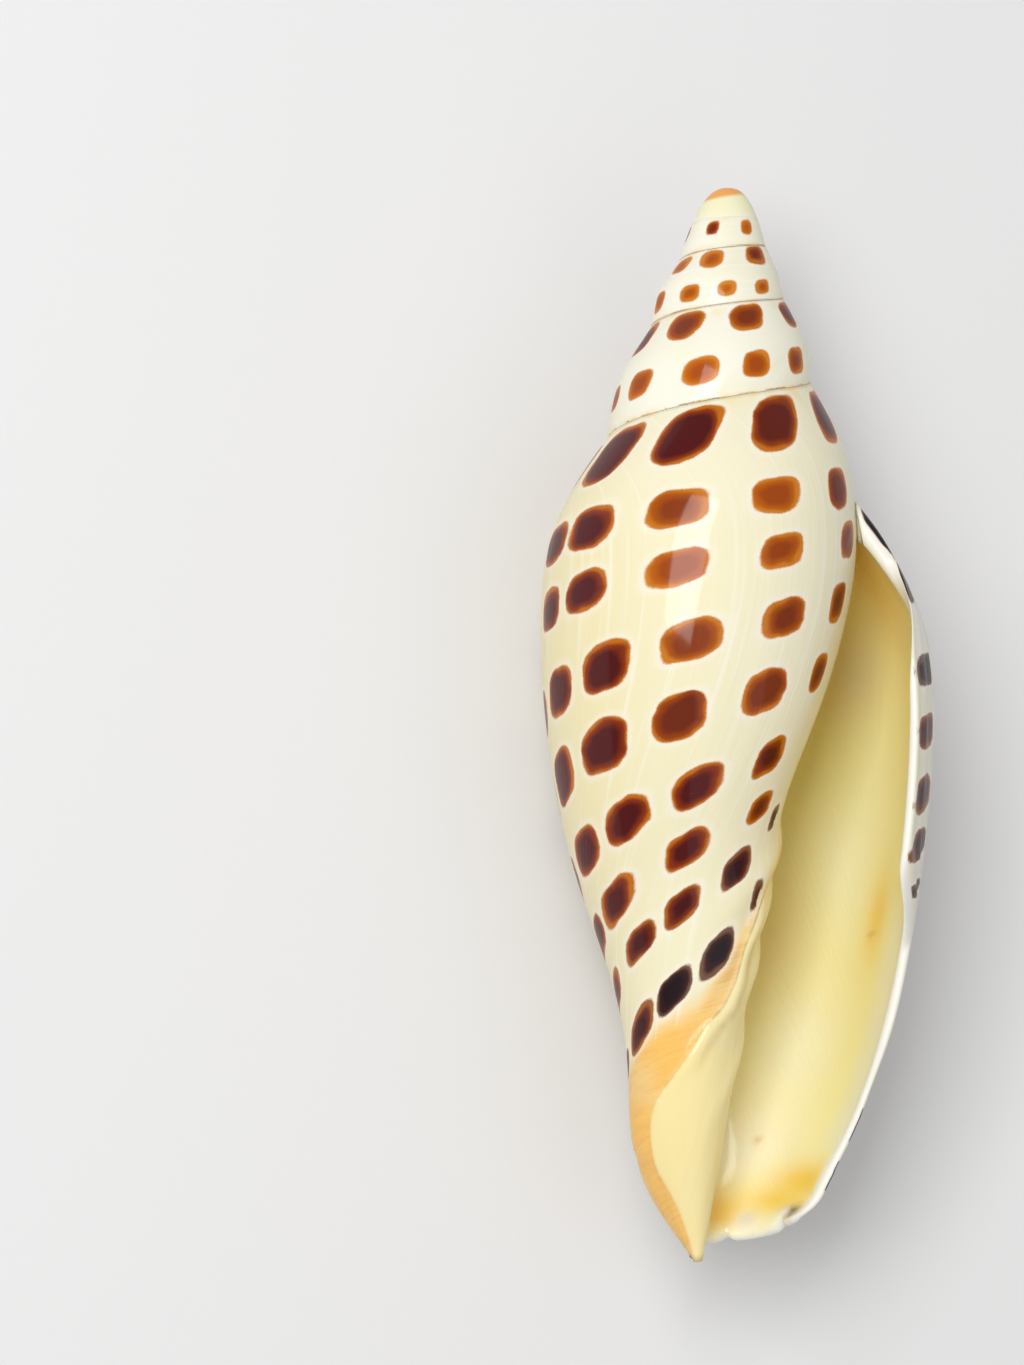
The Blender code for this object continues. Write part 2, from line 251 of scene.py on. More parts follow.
def shoulder_shift(angles):
    """How far the suture at each angle lies below its steady growth."""
    return held_spline(SHIFT_ANGLES, SHOULDER_SHIFT, angles)


def suture(angles):
    """Radius and depth of the suture where the whorl at each angle begins."""
    radius, depth, radius_growth, depth_growth = OUTLINE[0]
    age = turns(angles)
    depth = depth * depth_growth ** age - VIRTUAL_APEX + shoulder_shift(angles)
    return radius * radius_growth ** age, depth


def profiles(angles):
    """Depths and radii of the points that shape the whorl's outline at each angle."""
    age = turns(angles)[:, None]
    own_age = np.maximum(age, ALIKE_AGE)
    radii = OUTLINE[:, 0] * OUTLINE[:, 2] ** own_age * OUTLINE[0, 2] ** (age - own_age)
    depths = OUTLINE[:, 1] * OUTLINE[:, 3] ** own_age * OUTLINE[0, 3] ** (age - own_age)
    depths -= VIRTUAL_APEX
    depths += SHIFT_SHARES * shoulder_shift(angles)[:, None]
    past_end = OUTLINE[-1, 3] ** turns(np.maximum(angles, END_ANGLE))
    past_end -= OUTLINE[-1, 3] ** turns(END_ANGLE)
    tip_depth = siphon(TIP_DEPTH, angles) + OUTLINE[-1, 1] * past_end
    shrink = OUTLINE[-1, 2] ** (np.minimum(angles - SIPHON_ANGLES[0], 0.0) / 360.0)
    length = tip_depth - depths[:, -1]
    start = depths[:, -1] + siphon(FASCIOLE_START_SHARE, angles) * length
    middle = depths[:, -1] + siphon(FASCIOLE_MIDDLE_SHARE, angles) * length
    start_radius = siphon(FASCIOLE_START_RADIUS, angles) * shrink
    middle_radius = siphon(FASCIOLE_MIDDLE_RADIUS, angles) * shrink
    tip_radius = siphon(TIP_RADIUS, angles)
    depths = np.column_stack((depths, start, middle, tip_depth))
    radii = np.column_stack((radii, start_radius, middle_radius, tip_radius))
    return depths, radii


def fold_height(angles, depths):
    """How far the folds of the pillar raise its wall."""
    growth = FOLD_GROWTH ** (angles / 360.0)
    height = np.zeros_like(depths)
    for fold_depth, fold_rise in FOLDS:
        below = depths + VIRTUAL_APEX
        height += fold_rise * bell(below, fold_depth * growth, FOLD_HALF_WIDTH * growth)
    fade = 1.0 - smooth_step(FOLD_FADE_START, FOLD_FADE_END, angles)
    return height * fade * np.minimum(growth, 1.0)


def surface_radius(angles, depths):
    """Radius of the whorl's outside at each angle and depth."""
    radius = np.empty_like(depths)
    for first in range(0, len(depths), SPLINE_CHUNK):
        part = slice(first, first + SPLINE_CHUNK)
        knots, radii = profiles(angles[part])
        radius[part] = natural_splines(knots, radii, depths[part])
    extra_bulge = held_spline(BULGE_TURNS, BULGE, turns(angles)) - 1.0
    top_radius, top_depth = suture(angles)
    low_radius, low_depth = suture(angles + 360.0)
    share = (depths - top_depth) / (low_depth - top_depth)
    straight = top_radius + share * (low_radius - top_radius)
    extra_bulge *= smooth_step(*BULGE_END, share)
    radius += extra_bulge * (radius - straight)
    return radius + fold_height(angles, depths)


def grid_radius(angles, depths):
    """Radii for a grid of depths, with an angle for each place or for each line."""
    angles = np.broadcast_to(angles, depths.shape)
    return surface_radius(angles.ravel(), depths.ravel()).reshape(depths.shape)


def line_distance(line_depths, line_angles, angles, depths, radii):
    """Distance in millimetres past a line on the surface, towards larger angles."""
    reach = 0.2
    here = np.interp(depths, line_depths, line_angles)
    slope = np.interp(depths + reach, line_depths, line_angles)
    slope = np.radians(slope - np.interp(depths - reach, line_depths, line_angles))
    slope *= radii / (2.0 * reach)
    return np.radians(angles - here) * radii / np.sqrt(1.0 + slope ** 2)


def scar_distance(angles, depths, radii):
    """How far past the healed break each place lies."""
    return line_distance(SCAR_DEPTHS, SCAR_ANGLES, angles, depths, radii)


def callus_distance(angles, depths, radii):
    """How far inside the callus's edge each place lies."""
    return -line_distance(CALLUS_DEPTHS, CALLUS_ANGLES, angles, depths, radii)


def newer_relief(angles, depths, radii, columns):
    """Step down at the healed break, and the growth ridges past it."""
    past = scar_distance(angles, depths, radii)
    step = SCAR_STEP * np.exp(-np.maximum(past, 0.0) / SCAR_REACH)
    along = np.radians(columns) * OUTLINE[:, 0].max()
    waver = RIDGE_WAVER * np.sin(depths / RIDGE_WAVER_LENGTH)
    wave = np.cos(2.0 * np.pi * along / RIDGE_SPACING + waver)
    kept = 1.0 - RIDGE_FADE_SHARE * smooth_step(*RIDGE_FADE, depths)
    ridges = RIDGE_HEIGHT * wave * smooth_step(*RIDGE_START, depths) * kept
    return smooth_step(*SCAR_EDGE, past) * (ridges - step)


def callus_relief(angles, depths, radii):
    """Thickness of the callus, with the ridge along its edge."""
    inner = callus_distance(angles, depths, radii)
    step = CALLUS_STEP * smooth_step(*CALLUS_EDGE, inner) * smooth_step(*CALLUS_START, depths)
    crest = bell(inner, CALLUS_RIDGE_PLACE, CALLUS_RIDGE_WIDTH)
    return step + CALLUS_RIDGE * crest * window(CALLUS_START, CALLUS_RIDGE_FADE, depths)


def relief(angles, depths, radii, columns):
    """Small rises and hollows of the outside: the healed break, ridges, dents and the callus."""
    height = newer_relief(angles, depths, radii, columns)
    for depth, angle, drop, tall, wide in DENTS:
        across = np.radians(angles - angle) * radii
        height -= drop * bell(depths, depth, tall) * bell(across, 0.0, wide)
    height += callus_relief(angles, depths, radii)
    return height * smooth_step(*RELIEF_START, angles)


def floor_depth(angles):
    """Depth of the cavity's lower end, in the whorl that it belongs to."""
    _, depth, _, growth = OUTLINE[-1]
    ratio = FLOOR_RATIO + (FLOOR_RATIO_CANAL - FLOOR_RATIO) * smooth_step(
        FLOOR_FIXED_ANGLE, CANAL_ANGLE, angles)
    closed = np.minimum(depth * growth ** turns(angles) * ratio - VIRTUAL_APEX, SHELL_LENGTH)
    return np.where(angles > CANAL_ANGLE, siphon(TIP_DEPTH, angles), closed)


def margin_recess(angles):
    """How far both sheets stop short of the siphonal margin: for its round, and at its chips."""
    recess = MARGIN_ROUND * smooth_step(CANAL_ANGLE, CANAL_OPEN_ANGLE, angles)
    for angle, drop, width in CHIPS:
        recess += drop * bell(angles, angle, width)
    return recess


def row_depths(angles):
    """Depths of all rows of each column, from its suture down."""
    _, top = suture(angles)
    _, middle = suture(angles + 360.0)
    corner = middle + CORNER_DEPTH * SUTURE_GROWTH ** turns(angles + 360.0)
    hidden = angles + 360.0 <= CANAL_ANGLE
    bottom = np.where(hidden, floor_depth(angles + 360.0), siphon(TIP_DEPTH, angles))
    bottom -= margin_recess(angles)
    spire = (np.arange(SPIRE_ROWS + 1) / SPIRE_ROWS) ** SPIRE_SPACING
    gap = np.arange(1, GAP_ROWS + 1) / (GAP_ROWS + 1)
    pillar = np.linspace(0.0, 1.0, PILLAR_ROWS)
    upper = top[:, None] + (middle - top)[:, None] * spire
    between = middle[:, None] + (corner - middle)[:, None] * gap
    lower = corner[:, None] + (bottom - corner)[:, None] * pillar
    return np.hstack((upper, between, lower))


def lip_swing(angles, shares):
    """Angle that a point moves forward near the lip, by its share of the way down."""
    near = smooth_step(LIP_SWING_START, END_ANGLE, angles)
    swing = smooth_step(*LIP_SWING_OUT, shares) - smooth_step(*LIP_SWING_BACK, shares)
    return near * (LIP_SWING * swing - LIP_TAIL * smooth_step(*LIP_TAIL_SHARES, shares))


def shares_down(depths):
    """Share of the way down its column at which each row lies."""
    return (depths - depths[:, :1]) / (depths[:, -1:] - depths[:, :1])


def place(angles, depths, radii):
    """Points in the shell's frame: apex towards +Y, front towards +Z."""
    bow = AXIS_BOW * bell(depths, AXIS_BOW_DEPTH, AXIS_BOW_REACH)
    turn = np.radians(angles)
    across, up = FINE_FIT * radii * np.cos(turn), FINE_FIT * radii * np.sin(turn)
    return np.column_stack((across - bow, -depths, up))


def column_angles():
    """Angles of all columns, apex to lip. The last two are closer, to leave room for the rim."""
    count = round((END_ANGLE - START_ANGLE) / COLUMN_STEP) + 1
    angles = START_ANGLE + COLUMN_STEP * np.arange(count)
    angles[-2] -= LIP_ROUND_ANGLE / 2.0
    angles[-1] -= LIP_ROUND_ANGLE
    return angles


class Surface:
    """Points, faces and per-point measures of the shell's one closed surface."""

    def __init__(self):
        self.points = []
        self.measures = []
        self.count = 0
        self.faces = []

    def add(self, points, angles, depths, inside, columns):
        """Add points with their growth angle, depth, how far inside they are, and column."""
        start = self.count
        self.points.append(points)
        self.measures.append(np.column_stack((angles, depths, inside, columns)))
        self.count += len(points)
        return np.arange(start, self.count)

    def face(self, ring):
        """One face, without repeated corners."""
        ring = [int(corner) for n, corner in enumerate(ring) if corner != ring[n - 1]]
        if len(ring) > 2:
            self.faces.append(ring)

    def quads(self, left, right):
        """Faces between two lines of point numbers."""
        for k in range(len(left) - 1):
            self.face([left[k], right[k], right[k + 1], left[k + 1]])

    def fan(self, ring):
        """One cap over a ring of points, as a fan from their centre."""
        points = np.vstack(self.points)
        measures = np.vstack(self.measures)
        middle = measures[ring].mean(axis=0)
        centre = self.add(points[ring].mean(axis=0)[None], *middle[:, None])[0]
        for k in range(len(ring)):
            self.face([ring[k - 1], ring[k], centre])


def nucleus_line(angle):
    """Depths and radii down one column of the first whorl. It starts as a dome, and its last
    part takes on the form of the whorl that follows."""
    first_radius, first_depth = suture(START_ANGLE + 360.0)
    radius, depth = suture(angle + 360.0)
    last_radius, last_depth = suture(START_ANGLE + 720.0)
    joined = smooth_step(NUCLEUS_JOIN, 1.0, (angle - START_ANGLE) / 360.0)
    share = np.arange(1, SPIRE_ROWS + 1) / SPIRE_ROWS
    upper, lower = np.minimum(2.0 * share, 1.0), np.maximum(2.0 * share - 1.0, 0.0)
    length = depth - first_depth
    down = (1.0 - joined) * depth * share ** 2
    down += joined * (first_depth * upper ** 2 + length * lower ** SPIRE_SPACING)
    dome = radius * (down / depth) ** DOME_POWER
    past = np.maximum(down - first_depth, 0.0) / max(length, TINY)
    reached = first_depth + past * (last_depth - first_depth)
    bulge = surface_radius(np.full(SPIRE_ROWS, START_ANGLE + 360.0), reached)
    bulge -= first_radius + past * (last_radius - first_radius)
    whorl = first_radius * np.minimum(down / first_depth, 1.0) ** DOME_POWER
    whorl += past * (radius - first_radius) + bulge * length / (last_depth - first_depth)
    out = dome + joined * (whorl - dome)
    out[-1] = radius
    return down, out


def outer_sheet(surface, angles):
    """Point numbers of the outer sheet; each whorl's top row is the suture below the last."""
    grid = np.full((len(angles), ROWS + 1), -1)
    pole = surface.add(np.zeros((1, 3)), *np.zeros((4, 1)))[0]
    depths = row_depths(angles)
    turned = angles[:, None] + lip_swing(angles[:, None], shares_down(depths))
    radii = grid_radius(turned, depths)
    radii += relief(turned, depths, radii, angles[:, None])
    next_radius, _ = suture(angles + 360.0)
    spire = angles <= END_ANGLE - 360.0
    radii[spire, SPIRE_ROWS] = next_radius[spire]
    for column, angle in enumerate(angles):
        first_whorl = column < WHORL_COLUMNS
        grid[column, 0] = pole if first_whorl else grid[column - WHORL_COLUMNS, SPIRE_ROWS]
        last_row = ROWS if angle >= CAVITY_START - 360.0 else SPIRE_ROWS
        rows = np.arange(1, last_row + 1)
        covered = angle < END_ANGLE - 360.0
        if covered:
            rows = rows[(rows <= SPIRE_ROWS) | (rows >= CORNER_ROW)]
        down, out = depths[column, rows], radii[column, rows]
        if first_whorl:
            down, out = nucleus_line(angle)
        inside = np.where(covered & (rows > SPIRE_ROWS), 1.0, 0.0)
        points = place(turned[column, rows], down, out)
        same = np.full(len(down), angle)
        grid[column, rows] = surface.add(points, turned[column, rows], down, inside, same)
    return grid


def cavity_width(shares, angles):
    """How wide the cavity is, 0 to 1, at each share of the way down it."""
    top = np.sqrt(1.0 - (1.0 - np.minimum(shares / CAVITY_TOP, 1.0)) ** 2)
    low = np.sqrt(1.0 - np.maximum((shares - CAVITY_LOW) / (1.0 - CAVITY_LOW), 0.0) ** 2)
    closed = 1.0 - smooth_step(CANAL_ANGLE, CANAL_OPEN_ANGLE, angles)[:, None]
    return top * (1.0 - closed * (1.0 - low))


def wall_thickness(angles):
    """Thickness of the wall, which tapers towards the lip and is thinner in earlier whorls."""
    taper = smooth_step(0.0, LIP_TAPER_ANGLE, END_ANGLE - angles)
    grown = 1.0 - WALL_GROWN_SHARE + WALL_GROWN_SHARE * SUTURE_GROWTH ** turns(angles)
    return (LIP_WALL + (WALL - LIP_WALL) * taper) * grown


def inner_sheet(surface, angles, outer):
    """Point numbers of the cavity's outer wall, sharing the pillar's points."""
    grid = np.full_like(outer, -1)
    lined = np.where(angles >= CAVITY_START)[0]
    angles = angles[lined]
    shares = shares_down(row_depths(angles))
    corner = row_depths(angles - 360.0)[:, CORNER_ROW]
    bottom = floor_depth(angles) - margin_recess(angles)
    down = corner[:, None] + shares * (bottom - corner)[:, None]
    turned = angles[:, None] + lip_swing(angles[:, None], shares)
    pillar = grid_radius(angles[:, None] - 360.0, down)
    outside = grid_radius(turned, down) - wall_thickness(angles)[:, None]
    radii = pillar + (outside - pillar) * cavity_width(shares, angles)
    for line, column in enumerate(lined):
        whorl_before = outer[column - WHORL_COLUMNS]
        grid[column, 0] = whorl_before[CORNER_ROW]
        shut = angles[line] <= CANAL_ANGLE
        rows = slice(1, ROWS if shut else ROWS + 1)
        points = place(turned[line, rows], down[line, rows], radii[line, rows])
        ones = np.ones(len(points))
        grid[column, rows] = surface.add(
            points, turned[line, rows], down[line, rows], ones, ones * angles[line])
        if shut:
            grid[column, ROWS] = whorl_before[ROWS]
    return grid


def rounded_rim(surface, outer_line, inner_line, forward):
    """Lines of points that round the edge between the two sheets, outside to inside."""
    points = np.vstack(surface.points)
    measures = np.vstack(surface.measures)
    out, back = points[outer_line], points[inner_line]
    middle, half = (out + back) / 2.0, (out - back) / 2.0
    edge = np.gradient(middle, axis=0)
    edge /= np.linalg.norm(edge, axis=1)[:, None]
    across = half - (half * edge).sum(axis=1)[:, None] * edge
    reach = np.linalg.norm(across, axis=1)[:, None] * forward
    lines = [outer_line]
    for step in range(1, RIM_ROWS):
        turn = math.pi * step / RIM_ROWS
        line = middle + half * math.cos(turn) + reach * math.sin(turn)
        inward = (1.0 - math.cos(turn)) / 2.0
        mixed = measures[outer_line] * (1.0 - inward) + measures[inner_line] * inward
        mixed[:, 2] = inward
        lines.append(surface.add(line, *mixed.T))
    return lines + [inner_line]


def growth_direction(surface, before, last):
    """Unit vectors from one line of points to the next."""
    points = np.vstack(surface.points)
    step = points[last] - points[before]
    return step / np.maximum(np.linalg.norm(step, axis=1), TINY)[:, None]


def join_sheets(surface, angles, outer, inner):
    """Faces of both sheets."""
    for column in range(len(angles) - 1):
        left, right = outer[column], outer[column + 1]
        spire = slice(0, SPIRE_ROWS + 1)
        if column == WHORL_COLUMNS - 1:
            seam = np.concatenate((outer[0, spire], right[1:SPIRE_ROWS + 1]))
            for row in range(SPIRE_ROWS):
                surface.face([left[row], *seam[2 * row:2 * row + 3], left[row + 1]])
        else:
            surface.quads(left[spire], right[spire])
        if angles[column] >= END_ANGLE - 360.0:
            surface.quads(left[SPIRE_ROWS:CORNER_ROW + 1], right[SPIRE_ROWS:CORNER_ROW + 1])
        if angles[column] >= CAVITY_START - 360.0:
            surface.quads(left[CORNER_ROW:], right[CORNER_ROW:])
        if angles[column] >= CAVITY_START:
            surface.quads(inner[column + 1], inner[column])


def lip_and_margin(surface, angles, outer, inner):
    """Rims along the lip and round the siphonal end, and the cap of the pillar's tip."""
    last = len(angles) - 1
    canal = int(np.argmin(np.abs(angles - CANAL_ANGLE)))
    forward = growth_direction(surface, outer[last - 1], outer[last])
    forward[0] = forward[1]
    lip = rounded_rim(surface, outer[last, 1:], inner[last, 1:], forward[1:])
    for left, right in zip(lip, lip[1:]):
        surface.quads(left, right)
    gap = outer[last - WHORL_COLUMNS, SPIRE_ROWS:CORNER_ROW + 1]
    surface.face([*gap] + [line[0] for line in lip[::-1]])
    down = np.tile((0.0, -1.0, 0.0), (last - canal, 1))
    edge = rounded_rim(surface, outer[canal:last, ROWS], inner[canal:last, ROWS], down)
    edge = [np.append(line, lip[k][-1]) for k, line in enumerate(edge)]
    for left, right in zip(edge, edge[1:]):
        surface.quads(right, left)
    tip = np.concatenate((
        outer[canal - WHORL_COLUMNS:canal, ROWS],
        [line[0] for line in edge[:-1]],
    ))
    surface.fan(tip)


def end_of_cavity(surface, angles, outer, inner):
    """Cap over the inner end of the cavity."""
    first = int(np.argmin(np.abs(angles - CAVITY_START)))
    pillar = outer[first - WHORL_COLUMNS, CORNER_ROW:]
    surface.fan(np.concatenate((pillar[1:-1], inner[first, ::-1])))


def turned_about(axis, angle):
    """Rotation about one axis, by an angle in degrees."""
    return Matrix.Rotation(math.radians(angle), 4, axis)


def lay_down():
    """Transform from the shell's frame to the row frame, in millimetres."""
    attitude = turned_about("X", TIP_DIP) @ turned_about("Y", DOWN_ANGLE - 270.0)
    return Matrix.Translation(APEX_PLACE) @ attitude


def shell_mesh():
    """The shell's fine mesh, lying in the row frame."""
    surface = Surface()
    angles = column_angles()
    outer = outer_sheet(surface, angles)
    inner = inner_sheet(surface, angles, outer)
    join_sheets(surface, angles, outer, inner)
    lip_and_margin(surface, angles, outer, inner)
    end_of_cavity(surface, angles, outer, inner)
    points = np.vstack(surface.points)
    lay = np.array(lay_down())
    points = points @ lay[:3, :3].T + lay[:3, 3]
    points[:, 2] = np.maximum(points[:, 2], 0.0)
    mesh = bpy.data.meshes.new("shell_surface")
    mesh.from_pydata((points * MILLIMETRE).tolist(), [], surface.faces)
    mesh.validate()
    mesh.shade_smooth()
    return mesh, np.vstack(surface.measures)


# Spots: rows of the body whorl and of the spire. A row has its place among the outline's points,
# counted from 0, at its first and at its last spot: 1.34 is a third of the way from point 1 to
# point 2. A spot has its angle, half width, half height and tone (0 orange-brown, 1 dark
# red-brown, 2 near black). A lone spot is a row of one.
SPOT_ROWS = (
    (1.34, 1.34, (
        (22, 2.3, 2.6, 0.9), (64, 2.6, 2.8, 0.8), (107, 3.1, 2.9, 1.1), (147, 3.2, 2.9, 1.0),
        (178, 2.4, 2.6, 1.0))),
    (0.95, 0.95, (
        (207, 1.9, 1.8, 1.0), (240, 1.9, 1.6, 1.0), (272, 2.7, 1.8, 1.2), (302, 2.4, 1.6, 0.8),
        (342, 3.0, 2.0, 1.8))),
    (1.7, 1.71, (
        (206, 1.8, 1.7, 1.0), (239, 2.0, 1.6, 0.9), (272, 2.6, 1.7, 1.0), (301, 2.7, 1.8, 0.4))),
    (1.12, 1.12, ((372, 4.0, 2.4, 1.9),)),
    (1.98, 1.98, ((375, 3.0, 2.0, 1.9),)),
    (1.13, 1.77, ((314, 2.5, 1.5, 1.9), (325, 2.6, 1.5, 1.9))),
    (3.37, 3.34, (
        (34, 1.9, 2.1, 0.7), (69, 2.6, 1.8, 0.3), (107, 3.1, 1.8, 0.5), (143, 3.1, 2.1, 1.0),
        (167, 2.9, 2.0, 1.0), (195, 2.4, 2.0, 1.0), (225, 2.2, 2.1, 1.0), (253, 2.7, 2.1, 1.0),
        (279, 2.3, 2.1, 0.9), (306, 2.4, 2.1, 0.4))),
    (3.32, 3.39, ((328, 2.6, 1.4, 1.5), (354, 2.6, 1.5, 1.8), (382, 2.8, 1.6, 1.8))),
    (4.49, 4.29, (
        (27, 1.8, 1.9, 0.6), (67, 2.4, 1.7, 0.4), (107, 3.1, 1.8, 0.3), (144, 3.0, 2.0, 1.0),
        (167, 2.6, 2.0, 1.0), (194, 2.4, 1.9, 1.0), (220, 2.1, 1.7, 0.9), (248, 3.0, 1.6, 0.9),
        (274, 2.7, 1.9, 0.9), (302, 2.9, 1.9, 0.4))),
    (3.66, 4.04, ((328, 1.7, 0.9, 0.8), (352, 2.0, 1.2, 1.8), (382, 2.8, 1.7, 1.5))),
    (4.94, 5.0, ((309, 0.8, 0.7, 1.2), (319, 2.6, 0.5, 0.1), (334, 2.0, 0.45, 0.1))),
    (4.96, 4.93, ((235, 2.3, 1.0, 0.8), (264, 2.7, 1.2, 0.8), (292, 2.8, 1.5, 0.5))),
    (5.57, 5.57, (
        (33, 1.6, 2.0, 0.7), (65, 2.4, 1.9, 0.6), (101, 3.1, 2.0, 0.5), (135, 2.9, 2.4, 1.0),
        (162, 2.7, 2.3, 0.9), (186, 2.5, 2.2, 1.0), (210, 2.3, 2.3, 1.0), (238, 2.5, 2.1, 1.0),
        (264, 2.8, 2.4, 0.9), (291, 2.7, 2.4, 0.5))),
    (4.79, 5.02, ((324, 2.8, 1.3, 1.6), (350, 2.0, 1.2, 1.9), (382, 2.7, 1.6, 1.6))),
    (4.56, 4.58, ((352, 1.8, 1.1, 1.9), (382, 2.8, 1.9, 1.5))),
    (5.36, 5.38, ((324, 1.6, 0.8, 0.9), (344, 1.8, 1.2, 1.5), (379, 1.4, 0.9, 1.8))),
    (6.56, 6.4, (
        (38, 1.4, 1.9, 0.7), (70, 2.4, 2.1, 0.6), (106, 2.7, 2.2, 0.7), (140, 3.0, 2.4, 1.0),
        (170, 2.8, 2.5, 0.9), (195, 2.3, 2.4, 1.0), (221, 2.3, 2.4, 1.3), (247, 2.4, 2.4, 1.0),
        (272, 2.3, 2.5, 0.7), (294, 2.6, 2.3, 0.2))),
    (6.56, 6.89, ((316, 1.8, 1.7, 1.6), (336, 2.2, 2.3, 1.9), (359, 2.2, 2.0, 1.9))),
    (7.73, 7.51, (
        (61, 1.8, 1.7, 0.9), (99, 2.5, 1.8, 1.0), (135, 2.7, 1.9, 1.0), (166, 2.8, 2.0, 1.0),
        (195, 2.3, 2.0, 1.0), (222, 2.1, 2.0, 1.2), (249, 2.3, 1.9, 1.0), (277, 2.4, 2.2, 0.5))),
    (7.0, 7.0, ((325, 1.2, 0.9, 1.4),)),
    (7.77, 7.87, (
        (304, 2.1, 1.9, 1.5), (330, 2.2, 2.0, 1.9), (352, 2.2, 2.0, 1.9), (371, 2.0, 1.9, 1.7))),
    (8.8, 8.8, (
        (59, 1.5, 1.3, 0.8), (106, 2.2, 1.6, 1.1), (155, 2.8, 1.7, 1.1), (186, 2.2, 1.6, 1.1),
        (222, 2.1, 1.5, 1.2), (254, 1.7, 1.6, 1.2), (283, 1.8, 1.6, 0.3))),
    (9.08, 8.8, (
        (288, 1.3, 1.2, 1.5), (315, 2.0, 1.6, 1.9), (346, 2.3, 1.8, 1.9), (366, 1.8, 1.6, 1.8))),
    (9.36, 9.4, (
        (71, 1.6, 1.7, 1.6), (110, 1.8, 1.6, 1.4), (144, 2.2, 1.5, 1.4), (184, 1.9, 1.5, 1.3),
        (211, 1.5, 1.4, 1.3), (236, 1.5, 1.4, 1.3), (264, 1.7, 1.1, 0.5))),
    (9.63, 9.9, (
        (267, 1.5, 1.0, 1.5), (298, 2.3, 1.5, 1.9), (331, 2.0, 1.7, 1.9), (356, 1.8, 1.6, 1.9))),
    (10.0, 10.05, (
        (83, 1.7, 1.9, 1.8), (118, 1.8, 1.7, 1.8), (151, 1.9, 1.8, 1.5), (187, 1.7, 1.5, 1.4),
        (219, 1.7, 1.3, 0.9))),
    (10.1, 10.66, ((236, 1.9, 1.2, 1.6), (283, 2.6, 1.6, 1.8))),
    (9.16, 9.76, ((40, 0.7, 1.2, 1.7), (50, 0.7, 1.4, 1.7))),
    (1.14, 1.14, (
        (-335, 1.5, 1.4, 0.9), (-286, 1.8, 1.4, 0.6), (-239, 1.9, 1.5, 0.6), (-197, 1.8, 1.6, 1.0),
        (-161, 1.7, 1.7, 1.0), (-119, 1.5, 1.9, 0.9), (-79, 2.2, 2.0, 0.9), (-39, 2.2, 2.0, 1.0))),
    (3.21, 3.22, (
        (-324, 1.4, 1.4, 0.5), (-290, 1.5, 1.4, 0.2), (-256, 1.8, 1.4, 0.1), (-216, 1.6, 1.4, 0.3),
        (-187, 1.5, 1.3, 0.5))),
    (3.07, 3.36, (
        (-158, 1.4, 1.3, 0.6), (-122, 1.6, 1.4, 0.3), (-88, 2.0, 1.5, 0.8), (-52, 1.8, 1.5, 0.5),
        (-20, 1.6, 1.5, 0.6))),
    (3.69, 3.72, ((-136, 1.3, 1.1, 0.2), (-102, 1.6, 1.2, 0.5), (-67, 1.6, 1.1, 0.3))),
    (1.12, 1.12, (
        (-666, 1.3, 1.0, 1.2), (-611, 1.3, 1.0, 0.3), (-571, 1.2, 0.8, 0.3), (-527, 1.1, 0.9, 0.9),
        (-479, 1.1, 1.0, 0.5), (-442, 1.3, 1.0, 0.9), (-397, 1.3, 1.1, 0.9))),
    (3.25, 2.94, (
        (-666, 0.9, 0.8, 0.4), (-630, 1.0, 0.9, 0.1), (-596, 1.1, 0.9, 0.4), (-558, 1.0, 1.0, 0.3),
        (-504, 0.9, 1.0, 0.2), (-462, 1.0, 1.0, 0.0), (-432, 1.1, 1.1, 0.1),
        (-402, 1.0, 1.2, 0.4))),
    (1.73, 1.01, (
        (-1020, 0.7, 0.8, 0.1), (-964, 0.7, 0.7, 1.0), (-903, 0.7, 0.8, 1.5),
        (-844, 0.7, 0.9, 0.5), (-794, 0.8, 0.9, 0.6))),
    (3.36, 3.37, ((-840, 0.6, 0.4, 0.5), (-796, 1.0, 0.7, 0.1))),
)
SPOT_SLANT = 0.06
TOP_ROW_SLANT = 0.30
TOP_ROW_PLACE = 2.2
SPOT_SQUARENESS = 2.9
SPOT_REACH = 5.0

# How fast a spot ends over the rim, which it does above these depths.
RIM_SPOT_FALL = 5.0
RIM_SPOT_DEPTHS = (46.0, 40.0)

# Reach of the yellow stain below the sutures, the distance that counts as on a suture, how the
# suture's line ends near the lip, and the values given to places that are far from a line, off
# every spot, or past the nucleus.
STAIN_REACH = 2.2
ON_SUTURE = 0.01
LIP_JOINT = 0.4
LIP_JOINT_ANGLES = (352.0, 362.0)
FAR = 9.0
OFF_SPOTS = -1.0
PAST_NUCLEUS = 2.0

# Places where the glaze has flaked off: place, angle, half width and half height.
FLAKES = ((9.97, 216, 0.9, 1.0), (9.22, 36, 0.3, 0.7), (9.82, 46, 0.25, 0.8))

# Layers of colour: the colour from 0 to 255, its greatest share, and the two values of its
# measure at which it is absent and at which it is whole. First those of the ground, with the
# ranges of angles, depths or millimetres that mask them. The waves of yellow have a rate and a
# start, by angle and by depth.
SPIRE_CREAM = (243, 240, 223)
BODY = ((240, 234, 206), 1.0, (-60.0, 40.0))
BODY_YELLOW = (238, 226, 180)
YELLOW_START = (20.0, 40.0)
YELLOW_SHARE = 0.35
YELLOW_WAVES = (1.7, 0.4)
YELLOW_DEPTH_WAVES = (1.0 / 13.0, 1.0)
YELLOW_SIDE = ((110.0, 160.0), (200.0, 260.0))
YELLOW_SIDE_SHARE = 0.5
NEWER_SHELL = ((240, 236, 222), 1.0, (-0.3, 0.5))
FASCIOLE_YELLOW = ((238, 226, 180), 0.6, (-6.0, 0.0))
FASCIOLE_PEACH = ((247, 196, 104), 1.0, (-0.8, 1.8))
FASCIOLE_START = (0.0, 20.0)
